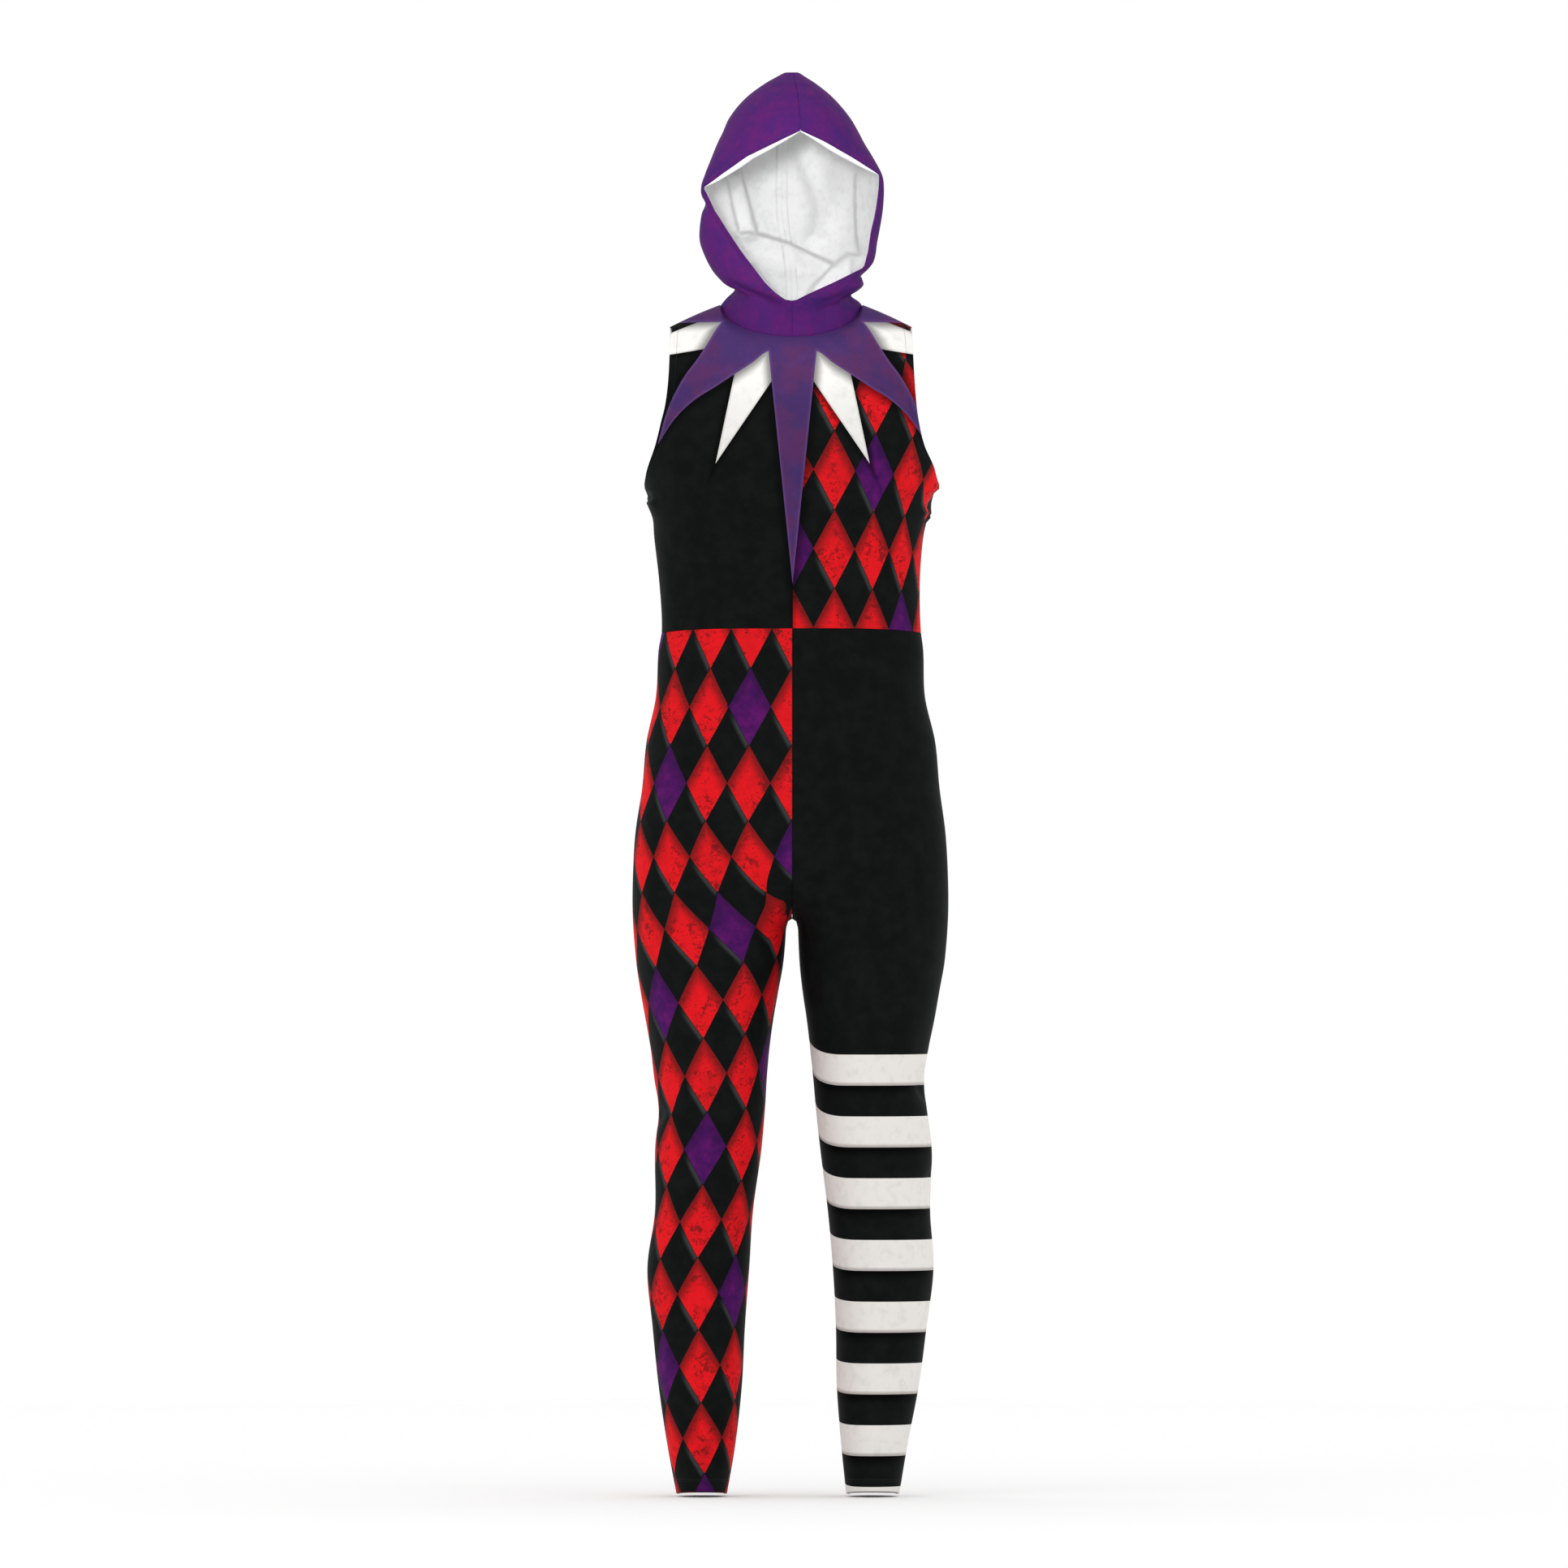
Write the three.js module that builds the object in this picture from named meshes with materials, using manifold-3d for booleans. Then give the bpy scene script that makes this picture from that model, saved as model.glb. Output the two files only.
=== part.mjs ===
// Hooded, sleeveless harlequin unitard, hollow as if worn. Millimetres, +Z up, the front faces -Y.
// The origin lies midway between the shoulder seams, and +X is the wearer's left.
import * as THREE from "three";
import { mergeVertices } from "three/addons/utils/BufferGeometryUtils.js";
import Module from "manifold-3d";

const wasm = await Module();
wasm.setup();

// Driving dimensions
const wall = 1.5; // thickness of the cloth
const seamGap = 0.3; // between two pieces at a seam
const waistZ = -366;
const hemZ = -1375;
const underarmZ = -200;
const yokeZ = -110; // above it the chest slopes back to the neck and shoulders
const yokeEnd = { front: [0.7, 0.7], back: [0.45, 0.9] }; // how far in and up the yoke runs at the neck seam
const armholeTurn = THREE.MathUtils.degToRad(32); // how far round the section the armhole is cut away
const squareness = 0.9; // 1 is an ellipse, less is squarer
const neck = { right: 83, left: 81, front: -62, middle: 4, back: 60, top: 12, frontDrop: 38, backDrop: 10 };
const shoulder = { right: 143, left: 140, y: 0, z: -14, crown: 3 };
const neckShare = 0.5; // share of a panel's top edge that is neckline
const neckColumns = 5; // columns of cloth round a quarter of the neck, the same above and below its seam
const crotch = { z: -703, seamTop: -618, archHeight: 14, reach: 0.15, dip: 72, spread: 75 };
const hipBlend = { top: -600, bottom: -770 }; // where one hip section becomes two thighs
const hoodTurn = { angle: THREE.MathUtils.degToRad(6), from: 15, to: 135 }; // the hood looks a little to its left
const zip = { tapeHalf: 3, chainHalf: 2.7, sliderDrop: 18, sliderLift: 0.8 };
const slider = { width: 8, length: 10, thick: 2, nose: 5.6 };
const bridge = { inner: 1.2, outer: 2.4, width: 1.4, root: 0.4 };
const legColumns = 9; // columns of cloth across a leg panel
const probe = 0.004; // share of a panel that is stepped along it to find its slope
const pull = { length: 26, topHalf: 2.6, endHalf: 3.4, thick: 1.1, eyeHalf: 1.3, bar: 0.6, eyeEnd: 3, neck: 4 };

// Half-widths on the wearer's right and left, and the depths of the front, the side seam and the back.
// The inner columns are the distances of the two inseams from the middle.
const body = table(
  ["z", "right", "left", "front", "side", "back", "innerRight", "innerLeft"],
  [
    [-110, 173, 169, -97, 0, 93, 6.5, 6.5],
    [-127, 177, 171, -104, 0, 96, 6.5, 6.5],
    [-153, 179, 173, -112, 0, 99, 6.5, 6.5],
    [-180, 179, 176, -117, 0, 100, 6.5, 6.5],
    [-206, 171, 166, -117, 0, 99, 6.5, 6.5],
    [-233, 163, 159, -113, -2, 96, 6.5, 6.5],
    [-259, 161, 153, -107, -4, 91, 6.5, 6.5],
    [-312, 155, 149, -97, -7, 81, 6.5, 6.5],
    [-366, 152, 150, -91, -8, 76, 6.5, 6.5],
    [-392, 156, 153, -92, -7, 79, 6.5, 6.5],
    [-445, 159, 155, -96, -2, 91, 6.5, 6.5],
    [-498, 170, 167, -98, 3, 106, 6.5, 6.5],
    [-551, 175, 172, -99, 7, 117, 6.5, 6.5],
    [-604, 183, 179, -97, 9, 122, 6.5, 6.5],
    [-657, 186, 182, -93, 9, 120, 6.5, 6.5],
    [-703, 186, 182, -91, 7, 108, 6.5, 6.5],
    [-754, 182, 178, -89, 3, 97, 10, 8.5],
    [-788, 177, 172, -87, 1, 92, 16, 12],
    [-822, 171, 166, -85, 0, 87, 22, 17],
    [-856, 165, 159, -83, -2, 80, 26.5, 21],
    [-890, 161, 154, -81, -5, 72, 29.5, 24.5],
    [-924, 156, 157, -79, -7, 65, 31.5, 27.5],
    [-975, 160, 163, -73, -6, 58, 36, 33],
    [-1044, 160, 161, -66, -2, 62, 45.5, 41.5],
    [-1112, 169, 165, -60, 3, 70, 50, 47.5],
    [-1180, 163, 157, -56, 5, 66, 55, 51],
    [-1248, 156, 148, -52, 4, 56, 58.5, 52],
    [-1316, 146, 135, -48, 2, 45, 66, 57],
    [-1375, 135, 125, -45, -1, 37, 76, 63],
  ],
);

// The hood from the neck seam up: heights at its front edge, side and centre back, half-widths, depths,
// and how far each front edge stands from the middle where the face opening parts them.
const hood = table(
  ["step", "zFront", "zSide", "zBack", "right", "left", "front", "middle", "back", "edgeRight", "edgeLeft"],
  [
    [0, -26, 12, 2, 83, 81, -62, 4, 60, 0, 0],
    [1, -12, 20, 14, 77, 76, -66, 2, 58, 0, 0],
    [2, 2, 28, 26, 73, 74, -75, 0, 60, 0, 0],
    [3, 15, 36, 38, 75, 79, -85, -2, 66, 3, 3],
    [4, 23, 45, 48, 85, 82, -90, -6, 74, 19, 20],
    [5, 35, 56, 60, 95, 88, -93, -10, 84, 32, 46],
    [6, 54, 72, 76, 104, 96, -95, -14, 95, 48, 83],
    [7, 74, 86, 90, 109, 98, -95, -18, 104, 65, 87],
    [8, 95, 101, 105, 110, 100, -96, -28, 111, 81, 88],
    [9, 120, 122, 125, 109, 102, -97, -40, 116, 98, 92],
    [10, 147, 147, 147, 111, 102, -98, -52, 118, 111, 95],
    [11, 163, 163, 163, 106, 100, -99, -48, 118, 90, 96],
    [12, 183, 183, 183, 97, 91, -99, -35, 116, 62, 61],
    [13, 200, 200, 200, 89, 82, -97, -22, 111, 27, 29],
    [14, 213, 213, 213, 82, 76, -94, -14, 105, 0, 0],
    [15, 228, 228, 228, 75, 68, -86, -8, 97, 0, 0],
    [16, 243, 243, 243, 64, 57, -73, -3, 84, 0, 0],
    [17, 257, 257, 257, 50, 44, -57, 0, 67, 0, 0],
    [18, 270, 270, 270, 32, 28, -38, 2, 46, 0, 0],
    [19, 279, 279, 279, 18, 15, -20, 4, 26, 0, 0],
    [20, 285, 285, 285, 0.5, 0.5, -6, 5, 14, 0, 0],
  ],
);

// The largest folds: the middle of each, which way it runs, its half-length, half-width and depth.
// A negative depth stands out as a ridge.
const folds = table(
  ["x", "y", "z", "alongX", "alongY", "alongZ", "length", "width", "depth"],
  [
    [-42, -72, 20, 0.86, -0.28, -0.43, 34, 9, 6],
    [52, -66, 12, 0.9, 0.3, 0.3, 26, 8, 5],
    [66, -52, 36, 0.75, 0.6, 0.2, 26, 9, -4],
    [-165, -14, -214, 0.35, -0.9, 0.2, 26, 8, 5],
    [162, -14, -226, -0.35, -0.9, 0.2, 26, 8, 5],
    [-148, -30, -931, 0.6, -0.75, 0.25, 30, 9, 5],
    [150, -30, -903, -0.6, -0.75, 0.25, 30, 9, 5],
    [154, -26, -1008, -0.6, -0.75, -0.2, 26, 8, 4],
    [-38, -84, -668, 0.75, 0.3, -0.6, 40, 10, 4],
    [38, -84, -668, -0.75, 0.3, -0.6, 40, 10, 4],
    [-95, 84, -735, 0.95, 0.2, -0.2, 55, 12, 5],
    [95, 84, -735, -0.95, 0.2, -0.2, 55, 12, 5],
    [-92, 52, -935, 1, 0, 0.1, 40, 11, 5],
    [92, 52, -935, 1, 0, -0.1, 40, 11, 5],
  ],
);

function table(names, rows) {
  return rows.map((row) => Object.fromEntries(row.map((value, i) => [names[i], value])));
}

function ease(t) {
  const c = THREE.MathUtils.clamp(t, 0, 1);
  return c * c * (3 - 2 * c);
}

// A column's value at `at`, on straight lines between the rows
function straight(rows, key, name, at) {
  const sign = Math.sign(rows[1][key] - rows[0][key]);
  let i = 0;
  while (i < rows.length - 2 && (rows[i + 1][key] - at) * sign < 0) i++;
  const t = (at - rows[i][key]) / (rows[i + 1][key] - rows[i][key]);
  return THREE.MathUtils.lerp(rows[i][name], rows[i + 1][name], THREE.MathUtils.clamp(t, 0, 1));
}

// A column's value at `at`, on a smooth curve through the rows
function curve(rows, key, name, at) {
  const sign = Math.sign(rows[1][key] - rows[0][key]);
  let i = 0;
  while (i < rows.length - 2 && (rows[i + 1][key] - at) * sign < 0) i++;
  const slope = (k) => {
    const a = rows[Math.max(k - 1, 0)];
    const b = rows[Math.min(k + 1, rows.length - 1)];
    return (b[name] - a[name]) / (b[key] - a[key]);
  };
  const span = rows[i + 1][key] - rows[i][key];
  const t = THREE.MathUtils.clamp((at - rows[i][key]) / span, 0, 1);
  const rise = slope(i) * span;
  const fall = slope(i + 1) * span;
  const from = rows[i][name];
  const to = rows[i + 1][name];
  return from + t * (rise + t * (3 * (to - from) - 2 * rise - fall + t * (2 * (from - to) + rise + fall)));
}

// A point of the trunk's section at height z: angle 0 is centre front, PI / 2 the side seam, PI centre back.
function trunkPoint(side, angle, z) {
  const width = curve(body, "z", side < 0 ? "right" : "left", z);
  const sideY = curve(body, "z", "side", z);
  const turn = Math.cos(angle);
  const depth = curve(body, "z", turn > 0 ? "front" : "back", z) - sideY;
  return new THREE.Vector3(
    side * width * Math.abs(Math.sin(angle)) ** squareness,
    sideY + depth * Math.abs(turn) ** squareness,
    z,
  );
}

// How far round a front or back panel reaches: to the side seam, and above the underarm to the armhole.
function panelAngle(z) {
  const t = THREE.MathUtils.clamp((z - underarmZ) / (yokeZ - underarmZ), 0, 1);
  return Math.PI / 2 - armholeTurn * Math.sqrt(1 - (1 - t) ** 2);
}

function bodiceSection(side, isFront, u, z) {
  const angle = u * panelAngle(z);
  return trunkPoint(side, isFront ? angle : Math.PI - angle, z);
}

// The top edge of a bodice panel: the neckline, then the shoulder seam.
function topEdge(side, isFront, u) {
  const neckX = side < 0 ? neck.right : neck.left;
  if (u <= neckShare) {
    const angle = ((u / neckShare) * Math.PI) / 2;
    const depth = (isFront ? neck.front : neck.back) - neck.middle;
    const drop = isFront ? neck.frontDrop : neck.backDrop;
    return new THREE.Vector3(
      side * neckX * Math.sin(angle),
      neck.middle + depth * Math.cos(angle),
      neck.top - drop * Math.cos(angle),
    );
  }
  const t = (u - neckShare) / (1 - neckShare);
  return new THREE.Vector3(
    side * THREE.MathUtils.lerp(neckX, side < 0 ? shoulder.right : shoulder.left, t),
    THREE.MathUtils.lerp(neck.middle, shoulder.y, t),
    THREE.MathUtils.lerp(neck.top, shoulder.z, t) + shoulder.crown * Math.sin(t * Math.PI),
  );
}

// The yoke rises from the section at yokeZ, s = 0, to the top edge, s = 1.
function yokePoint(side, isFront, u, s) {
  const from = bodiceSection(side, isFront, u, yokeZ);
  const to = topEdge(side, isFront, u);
  const reach = from.distanceTo(to);
  const below = bodiceSection(side, isFront, u, yokeZ + probe * (waistZ - yokeZ));
  const start = from.clone().sub(below).normalize();
  const lean = ease(u / neckShare);
  const [inward, upward] = isFront ? yokeEnd.front : yokeEnd.back;
  const end = new THREE.Vector3(
    0,
    (isFront ? 1 : -1) * THREE.MathUtils.lerp(inward, 1, lean),
    THREE.MathUtils.lerp(upward, 0, lean),
  ).normalize();
  return from
    .multiplyScalar(1 - ease(s))
    .addScaledVector(start, reach * s * (1 - s) ** 2)
    .addScaledVector(to, ease(s))
    .addScaledVector(end, reach * s * s * (s - 1));
}

// The bodice, with v from 0 at the waist to 1 at yokeZ and 2 at the top edge.
function bodicePoint(side, isFront, u, v) {
  if (v > 1) return yokePoint(side, isFront, u, v - 1);
  return bodiceSection(side, isFront, u, THREE.MathUtils.lerp(waistZ, yokeZ, v));
}

// A leg with its hip: u runs from centre front or the inseam over the front, the side seam and the back.
function legPoint(side, u, z) {
  const hip = trunkPoint(side, Math.PI * u, z);
  const arch = THREE.MathUtils.clamp((crotch.z - z) / crotch.archHeight, 0, 1);
  const inner = Math.sqrt(1 - (1 - arch) ** 2) * curve(body, "z", side < 0 ? "innerRight" : "innerLeft", z);
  const outer = curve(body, "z", side < 0 ? "right" : "left", z);
  const sideY = curve(body, "z", "side", z);
  const sine = Math.sin(2 * Math.PI * u);
  const depth = curve(body, "z", sine > 0 ? "front" : "back", z) - sideY;
  const thigh = new THREE.Vector3(
    side * ((inner + outer) / 2 - ((outer - inner) / 2) * Math.cos(2 * Math.PI * u)),
    sideY + depth * Math.abs(sine),
    z,
  );
  const atSeam = 1 - Math.sqrt(1 - THREE.MathUtils.clamp(seamFall(z), 0, 1) ** 2);
  const atSide = ease((hipBlend.top - z) / (hipBlend.top - hipBlend.bottom));
  return hip.lerp(thigh, THREE.MathUtils.lerp(atSeam, atSide, ease(Math.min(u, 1 - u) / crotch.reach)));
}

// 0 where the centre seam starts to curve under, 1 at the crotch point
function seamFall(z) {
  return (crotch.seamTop - z) / (crotch.seamTop - crotch.z);
}

// The height of a ring at u: the rings rise to the crotch curve and the inseam.
function ringHeight(ring, u) {
  const lift = crotch.dip * Math.exp(-(((ring - crotch.z + crotch.dip) / crotch.spread) ** 2));
  return ring + lift * Math.max(0, 1 - Math.min(u, 1 - u) / crotch.reach);
}

// A hood half: u from the front edge round to centre back, v in the steps of its table.
function hoodPoint(side, u, v) {
  const width = curve(hood, "step", side < 0 ? "right" : "left", v);
  const edge = straight(hood, "step", side < 0 ? "edgeRight" : "edgeLeft", v);
  const start = Math.asin(THREE.MathUtils.clamp(edge / width, 0, 1));
  const angle = THREE.MathUtils.lerp(start, Math.PI, u);
  const middle = curve(hood, "step", "middle", v);
  const zSide = curve(hood, "step", "zSide", v);
  const isFront = angle < Math.PI / 2;
  const share = isFront ? (angle - start) / (Math.PI / 2 - start) : (Math.PI - angle) / (Math.PI / 2);
  const zEnd = isFront ? straight(hood, "step", "zFront", v) : curve(hood, "step", "zBack", v);
  const point = new THREE.Vector3(
    side * width * Math.sin(angle),
    middle + (curve(hood, "step", isFront ? "front" : "back", v) - middle) * Math.abs(Math.cos(angle)),
    zSide + (zEnd - zSide) * Math.cos((share * Math.PI) / 2),
  );
  const turn = hoodTurn.angle * ease((point.z - hoodTurn.from) / (hoodTurn.to - hoodTurn.from));
  return point.applyAxisAngle(new THREE.Vector3(0, 0, 1), turn);
}

// How far the folds push a point in
function foldDepth(point) {
  let depth = 0;
  for (const fold of folds) {
    const away = point.clone().sub(new THREE.Vector3(fold.x, fold.y, fold.z));
    const along = new THREE.Vector3(fold.alongX, fold.alongY, fold.alongZ).normalize();
    const run = away.dot(along);
    const across = away.addScaledVector(along, -run).length();
    depth += fold.depth * Math.exp(-((run / fold.length) ** 2) - (across / fold.width) ** 2);
  }
  return depth;
}

// The outward normal of a surface at (u, v), from its neighbours inside the panel
function normalOf(surface, facing, u, v, us, vs) {
  const du = probe;
  const dv = probe * (vs.at(-1) - vs[0]);
  const clampTo = (list, x) => THREE.MathUtils.clamp(x, Math.min(...list), Math.max(...list));
  const along = surface(clampTo(us, u + du), v).sub(surface(clampTo(us, u - du), v));
  const up = surface(u, clampTo(vs, v + dv)).sub(surface(u, clampTo(vs, v - dv)));
  return along.cross(up).normalize().multiplyScalar(facing);
}

// A panel of cloth: a closed wall on the grid of us and vs. `edge` may set a border point's normal and shift.
// The folds leave the row `still` where it is, so that the neck seam stays shut.
function clothGeometry(surface, us, vs, facing, still, edge) {
  const outer = [];
  const inner = [];
  vs.forEach((v, j) =>
    us.forEach((u, i) => {
      const normal = normalOf(surface, facing, u, v, us, vs);
      const point = surface(u, v);
      if (j !== still) point.addScaledVector(normal, -foldDepth(point));
      edge(i, j, point, normal.clone(), (newNormal, shift) => {
        normal.copy(newNormal).normalize();
        point.add(shift);
      });
      outer.push(point);
      inner.push(point.clone().addScaledVector(normal, -wall));
    }),
  );
  const columns = us.length;
  const rows = vs.length;
  const faces = [];
  const quad = (a, b, c, d) => faces.push(a, b, c, a, c, d);
  const at = (i, j) => j * columns + i;
  for (let j = 0; j < rows - 1; j++)
    for (let i = 0; i < columns - 1; i++) {
      const corners = [at(i, j), at(i + 1, j), at(i + 1, j + 1), at(i, j + 1)];
      quad(...corners);
      quad(...corners.map((k) => k + outer.length).reverse());
    }
  const border = [];
  for (let i = 0; i < columns - 1; i++) border.push(at(i, 0));
  for (let j = 0; j < rows - 1; j++) border.push(at(columns - 1, j));
  for (let i = columns - 1; i > 0; i--) border.push(at(i, rows - 1));
  for (let j = rows - 1; j > 0; j--) border.push(at(0, j));
  border.forEach((k, n) => {
    const next = border[(n + 1) % border.length];
    quad(next, k, k + outer.length, next + outer.length);
  });
  if (facing < 0) faces.reverse();
  const geometry = new THREE.BufferGeometry();
  geometry.setAttribute(
    "position",
    new THREE.Float32BufferAttribute([...outer, ...inner].flatMap((p) => p.toArray()), 3),
  );
  geometry.setIndex(faces);
  return geometry;
}

function without(normal, axis) {
  const flat = normal.clone();
  flat[axis] = 0;
  return flat;
}

function steps(from, to, count) {
  return Array.from({ length: count + 1 }, (_, i) => THREE.MathUtils.lerp(from, to, i / count));
}

function shiftOf(x, y, z) {
  return new THREE.Vector3(x, y, z).multiplyScalar(seamGap / 2);
}

// Materials
function cloth(color) {
  return new THREE.MeshStandardMaterial({ color, roughness: 0.75, metalness: 0, side: THREE.DoubleSide });
}
const purpleCloth = cloth(0x581e69);
const blackCloth = cloth(0x161a1a);
const redCloth = cloth(0xb5181d);
const zipNylon = new THREE.MeshStandardMaterial({ color: 0x141414, roughness: 0.45, metalness: 0 });
const zipMetal = new THREE.MeshStandardMaterial({ color: 0x2a2a2c, roughness: 0.35, metalness: 0.8 });

const unitard = new THREE.Group();

function addPiece(name, geometry, material, parent = unitard) {
  const mesh = new THREE.Mesh(geometry, material);
  mesh.name = name;
  parent.add(mesh);
}

// Bodice levels: waist to underarm, the round of the armhole, then the yoke.
const armholeLevels = [-206, underarmZ, -197, -188, -172, -145, yokeZ];
const ribLevels = steps(waistZ, -245, 3);
const yokeLevels = steps(1, 2, 5).slice(1);
const bodiceLevels = [
  ...[...ribLevels, ...armholeLevels].map((z) => (z - waistZ) / (yokeZ - waistZ)),
  ...yokeLevels,
];
const neckRow = bodiceLevels.length - 1;

// The borders of a bodice panel: waist seam, side seam up to the underarm, neckline and shoulder seam.
function bodiceEdge(us, isFront, centre) {
  const outward = isFront ? -1 : 1;
  return (i, j, point, normal, set) => {
    const u = Math.abs(us[i]);
    let bare = normal;
    const shift = shiftOf(0, 0, 0);
    if (j === 0) {
      bare = without(bare, "z");
      shift.add(shiftOf(0, 0, 1));
    }
    if (u === 1 && bodiceLevels[j] <= (underarmZ - waistZ) / (yokeZ - waistZ)) {
      bare = without(bare, "y");
      shift.add(shiftOf(0, outward, 0));
    }
    if (j === neckRow) {
      if (u >= neckShare) {
        bare = without(bare, "y");
        shift.add(shiftOf(0, outward, 0));
      }
      if (u <= neckShare) shift.add(shiftOf(0, 0, -1));
    }
    if (centre && u === 0) {
      bare = without(bare, "x");
      shift.x += centre;
    }
    set(bare, shift);
  };
}

function addBodice() {
  const columns = neckColumns / neckShare;
  const frontColumns = steps(-1, 1, 2 * columns);
  addPiece(
    "bodice_front",
    clothGeometry(
      (u, v) => bodicePoint(u < 0 ? -1 : 1, true, Math.abs(u), v),
      frontColumns,
      bodiceLevels,
      1,
      neckRow,
      bodiceEdge(frontColumns, true, 0),
    ),
    blackCloth,
  );
  const backColumns = steps(0, 1, columns);
  for (const [side, name, material] of [[-1, "right", blackCloth], [1, "left", redCloth]])
    addPiece(
      "bodice_back_" + name,
      clothGeometry(
        (u, v) => bodicePoint(side, false, u, v),
        backColumns,
        bodiceLevels,
        -side,
        neckRow,
        bodiceEdge(backColumns, false, side * zip.tapeHalf),
      ),
      material,
    );
}

// Rings of a leg: evenly down to the crotch, two for its round arch, then evenly to the hem.
const crotchRing = crotch.z - crotch.dip;
const archRings = [5, 12, 30].map((drop) => crotchRing - drop);
const legRings = [...steps(waistZ, crotchRing, 11), ...archRings, ...steps(archRings[2], hemZ, 15).slice(1)];

// The borders of a leg panel: waist seam, side seam, and centre seam, crotch curve or inseam.
function legEdge(side, us, isFront) {
  const outward = isFront ? -1 : 1;
  return (i, j, point, normal, set) => {
    let bare = normal;
    const shift = shiftOf(0, 0, 0);
    if (j === 0) {
      bare = without(bare, "z");
      shift.add(shiftOf(0, 0, -1));
    }
    if (us[i] === 0.5) {
      bare = without(bare, "y");
      shift.add(shiftOf(0, outward, 0));
    }
    if (us[i] === 0 || us[i] === 1) {
      const fall = seamFall(ringHeight(legRings[j], 0));
      if (fall <= 1) {
        const drop = THREE.MathUtils.clamp(fall, 0, 1);
        bare = new THREE.Vector3(0, outward * Math.sqrt(1 - drop ** 2), -drop);
        shift.add(shiftOf(side, 0, 0));
      } else {
        bare = without(bare, "y");
      }
      if (fall >= 1) shift.add(shiftOf(0, outward, 0));
    }
    set(bare, shift);
  };
}

function addLegs() {
  for (const [side, name, material] of [[-1, "right", redCloth], [1, "left", blackCloth]])
    for (const [isFront, place, us] of [
      [true, "front", steps(0, 0.5, legColumns)],
      [false, "back", steps(0.5, 1, legColumns)],
    ])
      addPiece(
        "leg_" + place + "_" + name,
        clothGeometry(
          (u, ring) => legPoint(side, u, ringHeight(ring, u)),
          us,
          legRings,
          -side,
          -1,
          legEdge(side, us, isFront),
        ),
        material,
      );
}

function addHood() {
  const us = steps(0, 1, 2 * neckColumns);
  const vs = hood.map((row) => row.step);
  for (const [side, name] of [[-1, "right"], [1, "left"]])
    addPiece(
      "hood_" + name,
      clothGeometry(
        (u, v) => hoodPoint(side, u, v),
        us,
        vs,
        side,
        0,
        (i, j, point, normal, set) => {
          const isSeam = i === us.length - 1 || (i === 0 && straight(hood, "step", "edgeRight", vs[j]) === 0);
          const flat = j === 0 ? without(normal, "z") : normal;
          const bare = isSeam ? without(flat, "x") : flat;
          const shift = shiftOf(isSeam ? side : 0, 0, j === 0 ? 1 : 0);
          set(j === vs.length - 1 ? new THREE.Vector3(0, 0, 1) : bare, shift);
        },
      ),
      purpleCloth,
    );
}

// The coil zip lies in the gap between the two backs, flush with them.
function addZip() {
  const us = [-1, 1];
  addPiece(
    "zip_chain",
    clothGeometry(
      (u, v) => bodicePoint(1, false, 0, v).add(new THREE.Vector3(u * zip.chainHalf, 0, 0)),
      us,
      bodiceLevels,
      -1,
      neckRow,
      (i, j, point, normal, set) => {
        const shift = shiftOf(0, 0, 0);
        if (j === 0) shift.add(shiftOf(0, 0, 1));
        if (j === neckRow) shift.add(shiftOf(0, 0, -1));
        set(j === 0 ? without(normal, "z") : normal, shift);
      },
    ),
    zipNylon,
  );
}

// A closed geometry as a solid that can be joined
function solidOf(geometry) {
  const bare = geometry.clone();
  bare.deleteAttribute("normal");
  bare.deleteAttribute("uv");
  const merged = mergeVertices(bare, 1e-4);
  return new wasm.Manifold(
    new wasm.Mesh({
      numProp: 3,
      vertProperties: new Float32Array(merged.attributes.position.array),
      triVerts: new Uint32Array(merged.index.array),
    }),
  );
}

function geometryOf(solid) {
  const mesh = solid.getMesh();
  const geometry = new THREE.BufferGeometry();
  geometry.setAttribute("position", new THREE.BufferAttribute(mesh.vertProperties, 3));
  geometry.setIndex(new THREE.BufferAttribute(mesh.triVerts, 1));
  return geometry;
}

// An outline in X and Z, made `thick` deep along Y from y = 0
function plateGeometry(shape, thick) {
  const plate = new THREE.ExtrudeGeometry(shape, { depth: thick, bevelEnabled: false, curveSegments: 6 });
  return plate.rotateX(Math.PI / 2).translate(0, thick, 0);
}

function sliderGeometry() {
  const halfLength = slider.length / 2;
  const outline = new THREE.Shape();
  outline.moveTo(-slider.nose / 2, -halfLength);
  outline.lineTo(slider.nose / 2, -halfLength);
  outline.absarc(0, 0, slider.width / 2, 0, Math.PI, false);
  const plate = plateGeometry(outline, slider.thick);
  const axis = slider.thick + bridge.inner;
  const arch = new THREE.Shape();
  arch.moveTo(bridge.outer, -bridge.inner - bridge.root);
  arch.absarc(0, 0, bridge.outer, 0, Math.PI, false);
  arch.lineTo(-bridge.outer, -bridge.inner - bridge.root);
  arch.lineTo(-bridge.inner, -bridge.inner - bridge.root);
  arch.absarc(0, 0, bridge.inner, Math.PI, 0, true);
  arch.lineTo(bridge.inner, -bridge.inner - bridge.root);
  const loop = new THREE.ExtrudeGeometry(arch, { depth: bridge.width, bevelEnabled: false, curveSegments: 6 });
  loop.translate(0, 0, -bridge.width / 2).rotateY(Math.PI / 2).translate(0, axis, 0);
  return geometryOf(solidOf(plate).add(solidOf(loop)));
}

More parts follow.
